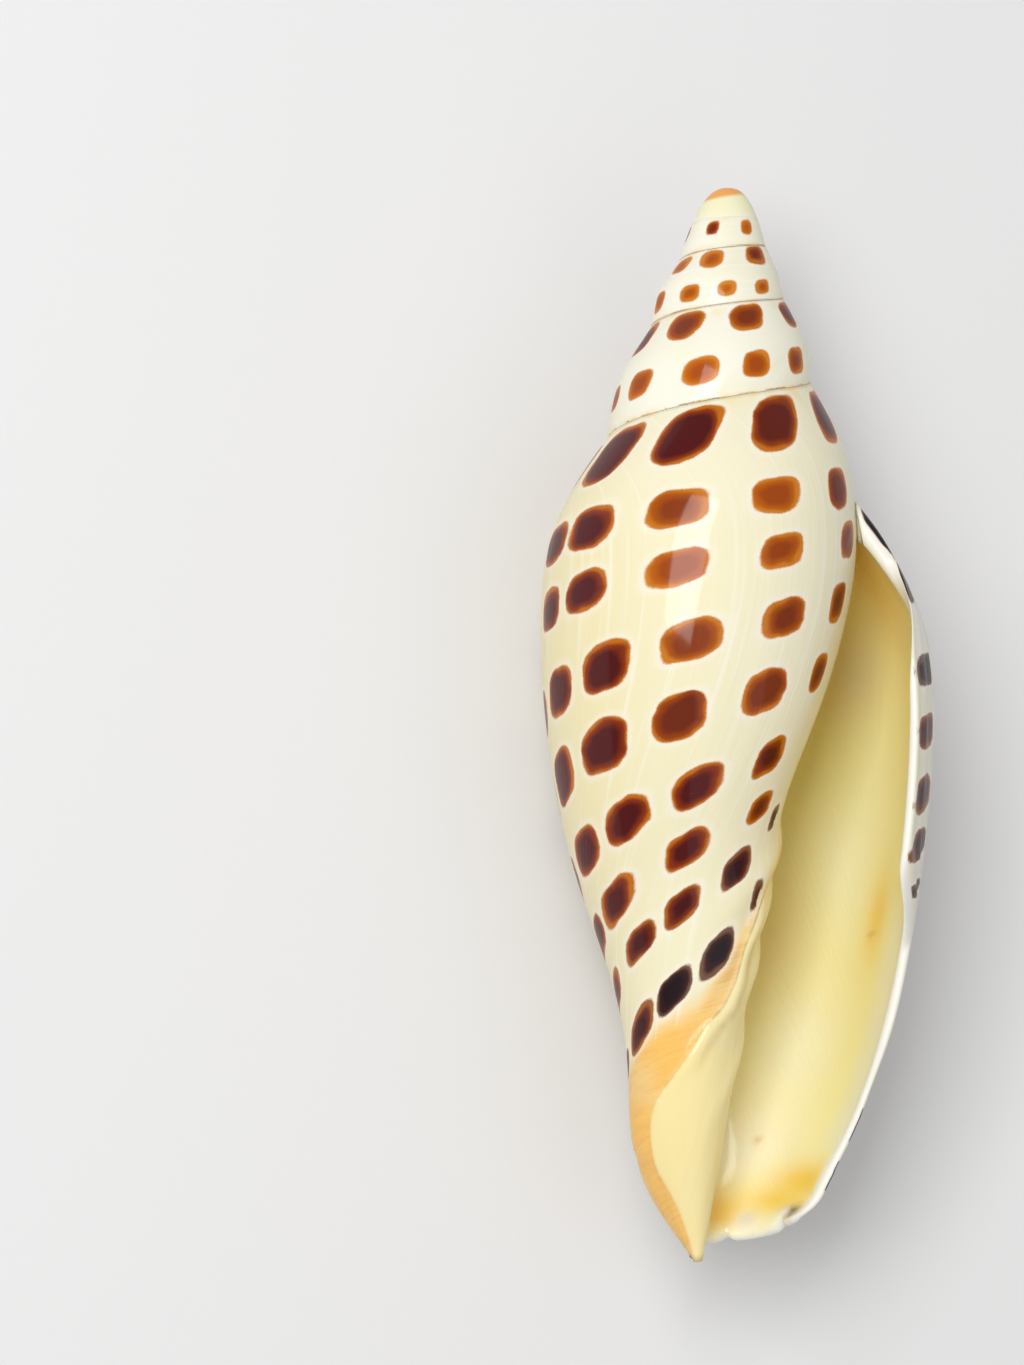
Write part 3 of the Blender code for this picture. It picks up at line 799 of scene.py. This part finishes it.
CALLUS = ((246, 228, 164), 1.0, (-0.15, 0.35))
CALLUS_TOP = (60.0, 70.0)
# Painted shade in the groove beside the ridge along the callus's edge.
CALLUS_GROOVE_SHADE = ((216, 172, 92), 0.6, (71.0, 75.0))
GROOVE_FADE = (88.0, 82.0)
GROOVE_PLACE = 1.5
GROOVE_WIDTH = 0.35
RIM = ((246, 243, 232), 1.0, (0.1, 0.25))
# Cream of the aperture's inside: its own colour, made paler as painted light for the dim cavity.
LIT_INNER_CREAM = (255, 238, 166)
INNER_START = (0.75, 0.98)
INNER_LIP_START = (0.4, 1.3)
INNER_MARGIN = ((246, 243, 232), 0.6, (2.4, 0.3))
PALE_LIP = ((246, 243, 232), 0.55, (346.0, 362.0))
PALE_LIP_DEPTHS = ((68.0, 73.0), (92.0, 95.5))

# Patches of colour inside the aperture: angle, depth, half length and half height, colour.
INNER_PATCHES = (
    # The first patch, deeper yellow at the aperture's top, is partly the inside's own colour and
    # partly painted shade.
    (346.0, 34.0, 5.0, 10.0, (240, 208, 112)),
    (322.0, 47.0, 4.0, 5.0, (236, 226, 178)),
    (330.0, 56.0, 4.0, 7.0, (255, 241, 180)),
    (321.0, 66.0, 6.0, 9.0, (255, 244, 200)),
    (343.0, 71.0, 2.0, 4.5, (254, 218, 116)),
    (300.0, 73.0, 4.0, 7.0, (246, 232, 172)),
    (316.0, 84.0, 6.0, 7.0, (255, 243, 206)),
    (300.0, 94.0, 8.0, 5.5, (255, 243, 216)),
    (350.0, 97.0, 4.0, 1.7, (250, 210, 90)),
    (337.0, 98.9, 3.2, 1.2, (251, 216, 104)),
    (292.0, 100.5, 2.6, 2.2, (248, 214, 118)),
    (318.0, 101.0, 1.2, 0.9, (222, 220, 204)),
    (341.0, 72.7, 0.45, 0.4, (222, 190, 116)),
    (310.0, 93.2, 0.45, 0.4, (232, 210, 158)),
)

# The chip of the siphonal margin: painted shade in its hollow, and a white splinter, in the same
# terms.
CHIP_SHADE_AND_SPLINTER = (
    (355.0, 100.0, 1.2, 0.6, (44, 30, 18)),
    (349.5, 100.2, 0.8, 0.5, (252, 250, 244)),
)

# Stains beside the healed pit of the back, in the same terms.
PIT_STAINS = (
    (315.0, 60.2, 2.2, 1.6, (241, 210, 146)),
    (322.0, 57.8, 5.0, 1.2, (238, 214, 160)),
    (308.0, 61.6, 0.7, 1.4, (186, 128, 62)),
)

# Growth hairlines: depths and angles of each.
HAIRLINES = (
    ((28.5, 53.0, 73.0), (223.0, 233.0, 213.0)),
    ((32.0, 49.0, 60.0), (209.0, 215.0, 213.0)),
    ((29.5, 38.0, 47.0), (166.0, 171.0, 174.0)),
)

# Smooth nucleus: depths of the orange cap's edge and of the band's edge round the axis.
NUCLEUS_AZIMUTHS = (0, 45, 135, 225, 325, 360)
CAP_DEPTHS = (0.6, 0.8, 1.45, 1.9, 2.5, 2.7)
BAND_DEPTHS = (2.7, 3.1, 3.5, 4.0, 5.2, 5.5)

# Upper edge of the peach band round the siphonal end.
FASCIOLE_ANGLES = (20, 40, 67, 97, 133, 171, 205, 233, 257, 273, 291, 320)
FASCIOLE_DEPTHS = (64.0, 68.5, 73.7, 80.0, 82.3, 85.9, 92.4, 95.6, 97.3, 99.1, 101.5, 106.0)


def depth_at(place_number, angles):
    """Depth of one row place at each angle."""
    knots, _ = profiles(angles)
    low = min(int(place_number), knots.shape[1] - 2)
    share = place_number - low
    return knots[:, low] * (1.0 - share) + knots[:, low + 1] * share


def spot_distance(angles, depths, radii, place_number, angle, half_width, half_height):
    """How far inside one spot's edge each place lies, in millimetres."""
    along = np.radians(angles - angle) * radii
    down = depths - depth_at(place_number, angles)
    top_row = place_number < TOP_ROW_PLACE and angle > END_ANGLE - 360.0
    along = along - (TOP_ROW_SLANT if top_row else SPOT_SLANT) * down
    size = (np.abs(along / half_width) ** SPOT_SQUARENESS
            + np.abs(down / half_height) ** SPOT_SQUARENESS) ** (1.0 / SPOT_SQUARENESS)
    return (1.0 - size) * min(half_width, half_height)


def nearby(angles, depths, radii, place_number, angle):
    """Which places are near enough to a spot to be coloured by it."""
    middle = depth_at(place_number, np.array([float(angle)]))[0]
    return ((np.abs(np.radians(angles - angle)) * radii < SPOT_REACH)
            & (np.abs(depths - middle) < SPOT_REACH))


def all_spots():
    """Place number, angle, half width, half height and tone of every spot."""
    for first, last, spots in SPOT_ROWS:
        start = spots[0][0]
        spread = max(spots[-1][0] - start, 1)
        for angle, *looks in spots:
            yield first + (last - first) * (angle - start) / spread, angle, *looks


def spot_measures(spots, angles, depths, radii):
    """Distance inside the nearest spot's edge, and that spot's tone."""
    best = np.full_like(depths, OFF_SPOTS)
    tones = np.ones_like(depths)
    for number, angle, half_width, half_height, tone in spots:
        near = nearby(angles, depths, radii, number, angle)
        value = spot_distance(
            angles[near], depths[near], radii[near], number, angle, half_width, half_height)
        nearer = value > best[near]
        index = np.flatnonzero(near)[nearer]
        best[index] = value[nearer]
        tones[index] = tone
    return best, tones


def suture_measures(angles, depths):
    """Distance from the nearest suture, and the strength of the stain below it."""
    _, top = suture(angles)
    _, next_top = suture(angles + 360.0)
    below = depths - top
    above = np.where(angles <= END_ANGLE - 360.0, next_top - depths, FAR)
    lip_joint = LIP_JOINT * smooth_step(*LIP_JOINT_ANGLES, angles)
    stain = np.where(above < ON_SUTURE, 1.0, 1.0 - smooth_step(0.0, STAIN_REACH, below))
    return np.minimum(below, above) + lip_joint, stain


def nucleus_measure(angles, depths):
    """0 at the edge of the apex's orange cap, 1 at the edge of the pale band below it."""
    azimuth = np.mod(angles, 360.0)
    cap = np.interp(azimuth, NUCLEUS_AZIMUTHS, CAP_DEPTHS)
    band = np.interp(azimuth, NUCLEUS_AZIMUTHS, BAND_DEPTHS)
    first = angles < START_ANGLE + 360.0
    return np.where(first, (depths - cap) / (band - cap), PAST_NUCLEUS)


def fasciole_distance(angles, depths):
    """How far past the upper edge of the peach band each place lies."""
    return depths - np.interp(angles, FASCIOLE_ANGLES, FASCIOLE_DEPTHS)


def linear_color(color):
    """Linear form of an everyday 0 to 255 colour."""
    channel = np.array(color) / 255.0
    return np.where(channel <= 0.04045, channel / 12.92, ((channel + 0.055) / 1.055) ** 2.4)


def blend(base, share, color):
    """Base colours moved towards one colour by each place's share."""
    return base + share[:, None] * (linear_color(color) - base)


def overlay(base, layer, measure, mask=1.0):
    """Base colours with one layer over them, by its measure and a mask."""
    color, share, span = layer
    return blend(base, share * mask * smooth_step(*span, measure), color)


def add_patches(color, patches, angles, depths, radii):
    """Colours with soft-edged patches over them."""
    for angle, depth, length, height, tint in patches:
        along = np.radians(angles - angle) * radii
        color = blend(color, bell(along, 0.0, length) * bell(depths, depth, height), tint)
    return color


def yellowness(angles, depths):
    """Slow waves of yellow over the body whorl, and more of it on the left side."""
    rate, start = YELLOW_WAVES
    depth_rate, depth_start = YELLOW_DEPTH_WAVES
    wave = np.sin(np.radians(angles) * rate + start) * np.sin(depths * depth_rate + depth_start)
    yellow = YELLOW_SHARE * (1.0 + wave) * smooth_step(*YELLOW_START, depths)
    return np.minimum(yellow + YELLOW_SIDE_SHARE * window(*YELLOW_SIDE, angles), 1.0)


def outer_color(angles, depths, radii):
    """Colour of the outside between its spots."""
    color = np.tile(linear_color(SPIRE_CREAM), (len(depths), 1))
    color = overlay(color, BODY, angles)
    color = blend(color, yellowness(angles, depths), BODY_YELLOW)
    color = overlay(color, NEWER_SHELL, scar_distance(angles, depths, radii))
    color = add_patches(color, PIT_STAINS, angles, depths, radii)
    past_edge = fasciole_distance(angles, depths)
    grown = smooth_step(*FASCIOLE_START, angles)
    color = overlay(color, FASCIOLE_YELLOW, past_edge, grown)
    color = overlay(color, FASCIOLE_PEACH, past_edge, grown)
    inner = callus_distance(angles, depths, radii)
    color = overlay(color, CALLUS, inner, smooth_step(*CALLUS_TOP, depths))
    # Painted shade in the groove beside the callus's ridge.
    groove_shade = bell(inner, GROOVE_PLACE, GROOVE_WIDTH) * smooth_step(*GROOVE_FADE, depths)
    return overlay(color, CALLUS_GROOVE_SHADE, depths, groove_shade)


def inner_color(angles, depths, radii):
    """Colour of the aperture's inside, its cream made paler than its own as painted light."""
    color = np.tile(linear_color(LIT_INNER_CREAM), (len(depths), 1))
    color = add_patches(color, INNER_PATCHES, angles, depths, radii)
    color = overlay(color, INNER_MARGIN, siphon(TIP_DEPTH, angles) - depths)
    return overlay(color, PALE_LIP, angles, window(*PALE_LIP_DEPTHS, depths))


def ground_color(angles, depths, radii, inside, columns):
    """Colour of the whole shell but for its spots."""
    color = overlay(outer_color(angles, depths, radii), RIM, inside)
    from_lip = np.radians(END_ANGLE - columns) * radii
    lined = smooth_step(*INNER_START, inside) * smooth_step(*INNER_LIP_START, from_lip)
    color += lined[:, None] * (inner_color(angles, depths, radii) - color)
    # Painted shade in the margin's chip, and its white splinter.
    return add_patches(color, CHIP_SHADE_AND_SPLINTER, angles, depths, radii)


def axis_distances(mesh):
    """Distance of each point from the shell's axis."""
    points = np.empty(3 * len(mesh.vertices))
    mesh.vertices.foreach_get("co", points)
    upright = np.array(lay_down().inverted())
    local = points.reshape(-1, 3) / MILLIMETRE @ upright[:3, :3].T + upright[:3, 3]
    return np.maximum(np.hypot(local[:, 0], local[:, 2]), LEAST_RADIUS)


def add_color(mesh, name, colors):
    """Store one colour per point of the mesh for the material to read."""
    layer = mesh.color_attributes.new(name, "FLOAT_COLOR", "POINT")
    filled = np.column_stack((np.clip(colors, 0.0, 1.0), np.ones(len(colors))))
    layer.data.foreach_set("color", filled.astype(np.float32).ravel())


def add_measures(mesh, measures):
    """Everything that the material reads, worked out from each point's place on the shell."""
    angles, depths, inside, columns = measures.T
    radii = axis_distances(mesh)
    where = (angles, depths, radii)
    outer = inside < 0.5
    spot, tone = spot_measures(all_spots(), *where)
    spot -= RIM_SPOT_FALL * inside * smooth_step(*RIM_SPOT_DEPTHS, depths)
    flake, _ = spot_measures([(*flaked, 1.0) for flaked in FLAKES], *where)
    from_suture, stain = suture_measures(angles, depths)
    past_edge = fasciole_distance(angles, depths)
    values = {
        "spot": np.where(outer, spot, OFF_SPOTS),
        "tone": tone,
        "flake": np.where(outer, flake, OFF_SPOTS),
        "suture": np.where(outer, from_suture, FAR),
        "stain": np.where(outer, stain, 0.0),
        "past_scar": scar_distance(*where),
        "callus": np.where(depths > CALLUS_TOP[0], callus_distance(*where), -FAR),
        "fasciole": np.where(outer & (angles > 0.0), past_edge, -FAR),
        "nucleus": nucleus_measure(angles, depths),
        "along": np.radians(angles) * radii,
        "axial_depth": depths,
        "inside": inside,
    }
    for number, (line_depths, line_angles) in enumerate(HAIRLINES):
        within = outer & (depths > line_depths[0]) & (depths < line_depths[-1])
        aside = line_distance(line_depths, line_angles, *where)
        values[f"hairline_{number}"] = np.where(within, aside, FAR)
    for name, value in values.items():
        layer = mesh.attributes.new(name, "FLOAT", "POINT")
        layer.data.foreach_set("value", value.astype(np.float32))
    add_color(mesh, "ground", ground_color(*where, inside, columns))


# Layers of the material, in the same terms as those of the ground.
CLOUD = ((236, 231, 190), 0.35, (0.45, 0.62))
STREAK = ((250, 249, 243), 0.30, (0.54, 0.70))
SUTURE_STAIN = ((242, 208, 130), 0.55, (0.38, 0.66))
NUCLEUS_BAND = ((240, 236, 196), 1.0, (1.10, 0.55))
NUCLEUS_CAP = ((238, 166, 84), 1.0, (0.10, -0.14))
SPOT_HALO = ((247, 240, 230), 0.40, (-0.75, -0.05))
FLAKED_GLAZE = ((238, 224, 198), 1.0, (-0.02, 0.05))
SUTURE_LINE = ((190, 134, 56), 0.75, (0.20, 0.03))
SUTURE_LINE_BREAKS = (0.42, 0.60)
SUTURE_CORE = ((130, 86, 36), 0.6, (0.08, 0.0))
SUTURE_CORE_BREAKS = (0.50, 0.62)
SEAM = ((250, 246, 236), 0.45, (0.2, 0.04))
SEAM_START = (28.0, 30.0)
HAIRLINE = ((176, 158, 118), 0.30, (0.14, 0.02))
WRINKLE = ((240, 176, 88), 0.35, (0.35, 0.7))
WRINKLE_SLANT = 0.27

# Masks of the material, in the same two values: outside, past the nucleus, in the peach band and
# off the callus.
OUTSIDE = (0.30, 0.18)
GROWN = (1.0, 1.06)
BANDED = (0.0, 2.0)
OFF_CALLUS = (0.3, 0.0)

# Noises: scale per millimetre and detail, the stretch down the shell of those that follow the
# growth lines, the hairs' own layer of the noise, and how far the grains move each edge, in
# millimetres.
SOFT_GRAIN = (0.42, 1.0)
CORE_GRAIN = (0.30, 1.0)
FINE_GRAIN = (6.0, 2.0)
CLOUD_GRAIN = (0.07, 2.0)
GROWTH_GRAIN = (1.1, 3.0)
GROWTH_STRETCH = 0.03
HAIR_GRAIN = (5.0, 2.0)
HAIR_STRETCH = 0.05
HAIR_LAYER = 3.0
WRINKLE_GRAIN = (1.3, 3.0)
WRINKLE_STRETCH = 0.12
SPOT_SWING = 0.30
SPOT_FINE_SWING = 0.07
CORE_SWING = 0.5
FLAKE_SWING = 0.1
SUTURE_SWING = 0.10
SEAM_SWING = 0.2

# Spots: colours of the rim, the body and the core at tones 0, 1 and 2, and where each begins.
SPOT_RIM = ((208, 128, 34), (190, 106, 8), (112, 78, 58))
SPOT_BODY = ((190, 98, 2), (132, 44, 0), (50, 20, 22))
SPOT_CORE = ((168, 74, 0), (78, 6, 6), (26, 8, 16))
SPOT_RIM_EDGE = (-0.10, 0.13)
SPOT_BODY_EDGE = (0.10, 0.50)
SPOT_CORE_EDGE = (0.40, 1.05)
SPOT_BLACK_TONES = (1.15, 1.85)

# Glaze and translucency, and how far each fine line or grain stands out, in millimetres.
GLAZE = {
    "Roughness": 0.4,
    "Specular IOR Level": 0.05,
    "Coat Weight": 0.30,
    "Coat Roughness": 0.08,
    "Coat IOR": 1.68,
    "Subsurface Radius": (1.0, 0.8, 0.5),
    "Subsurface Scale": 1.5 * MILLIMETRE,
}
INNER_TRANSLUCENCY = 0.7
INNER_DEPTH = (0.6, 0.95)
GROWTH_RISE = 0.05
HAIR_RISE = 0.02
SUTURE_RISE = -0.04
SEAM_RISE = 0.03
WRINKLE_RISE = 0.25


def paint(color):
    """Colour for a socket from an everyday 0 to 255 one."""
    return (*linear_color(color), 1.0)


class NodeKit:
    """Short calls for the nodes that a material is built from."""

    def __init__(self, name):
        self.material = bpy.data.materials.new(name)
        self.material.use_nodes = True
        self.tree = self.material.node_tree
        self.shader = self.tree.nodes["Principled BSDF"]

    def fill(self, node, inputs):
        """Link or set a node's inputs."""
        for name, value in inputs.items():
            if isinstance(value, bpy.types.NodeSocket):
                self.tree.links.new(value, node.inputs[name])
            else:
                node.inputs[name].default_value = value

    def node(self, kind, inputs, output=0, **settings):
        """One output of a new node."""
        node = self.tree.nodes.new("ShaderNode" + kind)
        for name, value in settings.items():
            setattr(node, name, value)
        self.fill(node, inputs)
        return node.outputs[output]

    def attribute(self, name, output="Fac"):
        return self.node("Attribute", {}, output, attribute_name=name)

    def math(self, operation, first, second=0.0):
        return self.node("Math", {0: first, 1: second}, operation=operation)

    def add(self, first, second):
        return self.math("ADD", first, second)

    def times(self, first, *others):
        """Product of all the values."""
        for other in others:
            first = self.math("MULTIPLY", first, other)
        return first

    def rest(self, value):
        """What is missing from 1."""
        return self.math("SUBTRACT", 1.0, value)

    def step(self, low, high, value):
        """Go from 0 at low to 1 at high, where low may be the larger of the two."""
        if low > high:
            return self.rest(self.step(high, low, value))
        span = {"Value": value, "From Min": low, "From Max": high}
        return self.node("MapRange", span, interpolation_type="SMOOTHSTEP")

    def mix(self, share, first, second):
        """Colour between two others."""
        return self.node("Mix", {"Factor": share, 6: first, 7: second}, 2, data_type="RGBA")

    def vector(self, *parts):
        return self.node("CombineXYZ", dict(enumerate(parts)))

    def noise(self, vector, scale, detail):
        """Noise from 0 to 1."""
        return self.node("TexNoise", {"Vector": vector, "Scale": scale, "Detail": detail}, "Fac")

    def swing(self, value, size):
        """Noise turned from 0..1 to -size..size."""
        return self.times(self.math("SUBTRACT", value, 0.5), 2.0 * size)

    def cover(self, layer, measure, *masks):
        """How much of a layer is there, 0 to 1, by its measure and the masks."""
        return self.times(self.step(*layer[2], measure), *masks)

    def tint(self, base, layer, measure, *masks):
        """Base colour with a layer over it."""
        color, share, _ = layer
        cover = self.cover(layer, measure, *masks)
        return self.mix(self.times(cover, share), base, paint(color))


class ShellKit(NodeKit):
    """The shell's material, with the grains, measures and masks that its layers share."""

    def __init__(self):
        super().__init__("volute_shell")
        place = self.node("TexCoord", {}, "Object")
        scale = {0: place, "Scale": 1.0 / MILLIMETRE}
        millimetres = self.node("VectorMath", scale, operation="SCALE")
        self.soft_grain = self.noise(millimetres, *SOFT_GRAIN)
        self.core_grain = self.noise(millimetres, *CORE_GRAIN)
        self.fine_grain = self.noise(millimetres, *FINE_GRAIN)
        self.clouds = self.noise(millimetres, *CLOUD_GRAIN)
        self.along = self.attribute("along")
        self.depth = self.attribute("axial_depth")
        growth_place = self.vector(self.along, self.times(self.depth, GROWTH_STRETCH), 0.0)
        hair_down = self.times(self.depth, HAIR_STRETCH)
        hair_place = self.vector(self.along, hair_down, HAIR_LAYER)
        self.growth = self.noise(growth_place, *GROWTH_GRAIN)
        self.hairs = self.noise(hair_place, *HAIR_GRAIN)
        self.nucleus = self.attribute("nucleus")
        self.grown = self.step(*GROWN, self.nucleus)
        self.inside = self.attribute("inside")
        self.outer = self.step(*OUTSIDE, self.inside)
        fasciole = self.step(*BANDED, self.attribute("fasciole"))
        off_callus = self.step(*OFF_CALLUS, self.attribute("callus"))
        self.plain = self.times(self.outer, self.rest(fasciole), off_callus)
        self.banded = self.times(fasciole, off_callus, self.outer)


def ground_layers(kit):
    """Ground colour with clouds and streaks, the stain below the sutures, and the nucleus."""
    color = kit.attribute("ground", "Color")
    color = kit.tint(color, CLOUD, kit.clouds, kit.outer)
    color = kit.tint(color, STREAK, kit.growth, kit.plain)
    color = kit.tint(color, SUTURE_STAIN, kit.soft_grain, kit.attribute("stain"), kit.grown)
    color = kit.tint(color, NUCLEUS_BAND, kit.nucleus)
    return kit.tint(color, NUCLEUS_CAP, kit.nucleus)


def spot_color(kit, inward):
    """Colour inside a spot: orange rim, brown body and dark core, darker with its tone."""
    tone = kit.attribute("tone")
    darker = kit.step(0.0, 1.0, tone)
    black = kit.step(*SPOT_BLACK_TONES, tone)
    rim, body, core = [
        kit.mix(black, kit.mix(darker, paint(light), paint(dark)), paint(darkest))
        for light, dark, darkest in (SPOT_RIM, SPOT_BODY, SPOT_CORE)
    ]
    uneven = kit.add(inward, kit.swing(kit.core_grain, CORE_SWING))
    color = kit.mix(kit.step(*SPOT_BODY_EDGE, uneven), rim, body)
    return kit.mix(kit.step(*SPOT_CORE_EDGE, uneven), color, core)


def spot_layers(kit, color):
    """Colour with the spots, their pale halo, and the flaked places."""
    edge = kit.add(kit.attribute("spot"), kit.swing(kit.soft_grain, SPOT_SWING))
    inward = kit.add(edge, kit.swing(kit.fine_grain, SPOT_FINE_SWING))
    color = kit.tint(color, SPOT_HALO, inward, kit.outer)
    inked = kit.times(kit.step(*SPOT_RIM_EDGE, inward), kit.outer)
    color = kit.mix(inked, color, spot_color(kit, inward))
    flake = kit.add(kit.attribute("flake"), kit.swing(kit.fine_grain, FLAKE_SWING))
    return kit.tint(color, FLAKED_GLAZE, flake, kit.outer)


def line_layers(kit, color):
    """Colour with the sutures, the healed break's seam and the hairlines, and their height."""
    nearest = kit.add(kit.attribute("suture"), kit.swing(kit.fine_grain, SUTURE_SWING))
    line_masks = (kit.step(*SUTURE_LINE_BREAKS, kit.growth), kit.grown)
    core_masks = (kit.step(*SUTURE_CORE_BREAKS, kit.growth), kit.grown)
    color = kit.tint(color, SUTURE_LINE, nearest, *line_masks)
    color = kit.tint(color, SUTURE_CORE, nearest, *core_masks)
    wavy = kit.add(kit.attribute("past_scar"), kit.swing(kit.soft_grain, SEAM_SWING))
    offset = kit.math("ABSOLUTE", wavy)
    seam_masks = (kit.plain, kit.step(*SEAM_START, kit.depth))
    color = kit.tint(color, SEAM, offset, *seam_masks)
    for number in range(len(HAIRLINES)):
        aside = kit.math("ABSOLUTE", kit.attribute(f"hairline_{number}"))
        color = kit.tint(color, HAIRLINE, aside)
    suture_rise = kit.times(kit.cover(SUTURE_LINE, nearest, *line_masks), SUTURE_RISE)
    seam_rise = kit.times(kit.cover(SEAM, offset, *seam_masks), SEAM_RISE)
    return color, kit.add(suture_rise, seam_rise)


def wrinkle_layer(kit, color):
    """Colour with the wrinkles of the peach band, and their height."""
    slope = kit.math("SUBTRACT", kit.depth, kit.times(kit.along, WRINKLE_SLANT))
    stretched = kit.vector(slope, kit.times(kit.along, WRINKLE_STRETCH), 0.0)
    wrinkles = kit.noise(stretched, *WRINKLE_GRAIN)
    color = kit.tint(color, WRINKLE, wrinkles, kit.banded)
    return color, kit.times(wrinkles, kit.banded, WRINKLE_RISE)


def shell_material():
    """Glazed cream shell with rows of brown spots, all placed by the shell's own measures."""
    kit = ShellKit()
    color = spot_layers(kit, ground_layers(kit))
    color, line_rise = line_layers(kit, color)
    color, wrinkle_rise = wrinkle_layer(kit, color)
    grain_rise = kit.add(kit.times(kit.growth, GROWTH_RISE), kit.times(kit.hairs, HAIR_RISE))
    height = kit.add(kit.times(grain_rise, kit.grown), kit.add(line_rise, wrinkle_rise))
    bump = kit.node("Bump", {"Distance": MILLIMETRE, "Height": height}, "Normal")
    translucent = kit.times(kit.step(*INNER_DEPTH, kit.inside), INNER_TRANSLUCENCY)
    looks = {"Base Color": color, "Subsurface Weight": translucent, "Normal": bump}
    kit.fill(kit.shader, {**looks, **GLAZE})
    return kit.material


def link_object(name, data):
    """New object in the scene."""
    added = bpy.data.objects.new(name, data)
    bpy.context.collection.objects.link(added)
    return added


def make_shell():
    """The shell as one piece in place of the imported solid."""
    mesh, measures = shell_mesh()
    add_measures(mesh, measures)
    piece = link_object("volute_shell", mesh)
    mesh.materials.append(shell_material())
    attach(piece, "root")
    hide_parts("shell")


# Camera: how the shell is turned before it, and how far the camera is turned off the shell.
LENS = 150.0
SENSOR = 36.0
CAMERA_DISTANCE = 555.5
SHELL_MIDDLE = 52.5
VIEW_PITCH = -4.4
VIEW_ROLL = 2.4
VIEW_LEAN = -1.74
CAMERA_PAN = 2.02
CAMERA_TILT = 0.38

# Floor, in metres.
FLOOR_SIZE = 4.0
FLOOR_GREY = (0.8, 0.8, 0.8, 1.0)
FLOOR_ROUGHNESS = 0.9

# Studio light: lamps by place, width and height in metres, and power in watts.
WHITE = (1.0, 1.0, 1.0, 1.0)
WORLD_LIGHT = 0.42
SOFT_BOX = ((-0.36, 0.13, 0.58), 0.50, 0.28, 3.1)
FILL_BOX = ((0.10, -0.20, 0.68), 0.70, 0.70, 0.7)


def add_camera():
    """Long lens that looks into the aperture, with the shell right of the middle."""
    data = bpy.data.cameras.new("camera")
    data.lens = LENS
    data.sensor_width = SENSOR
    camera = link_object("camera", data)
    bpy.context.scene.camera = camera
    shown = turned_about("Z", VIEW_LEAN) @ turned_about("X", VIEW_PITCH)
    turned = shown @ turned_about("Y", VIEW_ROLL) @ Matrix.Translation((0.0, SHELL_MIDDLE, 0.0))
    away = Matrix.Translation((0.0, 0.0, CAMERA_DISTANCE))
    aim = away @ turned_about("Y", CAMERA_PAN) @ turned_about("X", CAMERA_TILT)
    world = lay_down() @ turned.inverted() @ aim
    place = Matrix.Translation(world.to_translation() * MILLIMETRE)
    camera.matrix_world = place @ world.to_3x3().to_4x4()


def add_floor():
    """Pale floor under the shell."""
    bpy.ops.mesh.primitive_plane_add(size=FLOOR_SIZE)
    floor = bpy.context.active_object
    floor.name = "floor"
    kit = NodeKit("floor")
    kit.fill(kit.shader, {"Base Color": FLOOR_GREY, "Roughness": FLOOR_ROUGHNESS})
    floor.data.materials.append(kit.material)


def area_light(name, place, width, height, power):
    """Soft lamp aimed at the shell."""
    data = bpy.data.lights.new(name, "AREA")
    data.shape = "RECTANGLE"
    data.energy = power
    data.size = width
    data.size_y = height
    lamp = link_object(name, data)
    lamp.location = place
    lamp.rotation_euler = (-Vector(place)).to_track_quat("-Z", "Y").to_euler()


def add_studio():
    """World, a soft box above the shell to the left, and a dimmer one to the right."""
    world = bpy.data.worlds.new("studio")
    world.use_nodes = True
    background = world.node_tree.nodes["Background"]
    background.inputs["Color"].default_value = WHITE
    background.inputs["Strength"].default_value = WORLD_LIGHT
    bpy.context.scene.world = world
    area_light("soft_box", *SOFT_BOX)
    area_light("fill_box", *FILL_BOX)
    bpy.context.scene.view_settings.view_transform = "Standard"


add_camera()
make_shell()
add_floor()
add_studio()
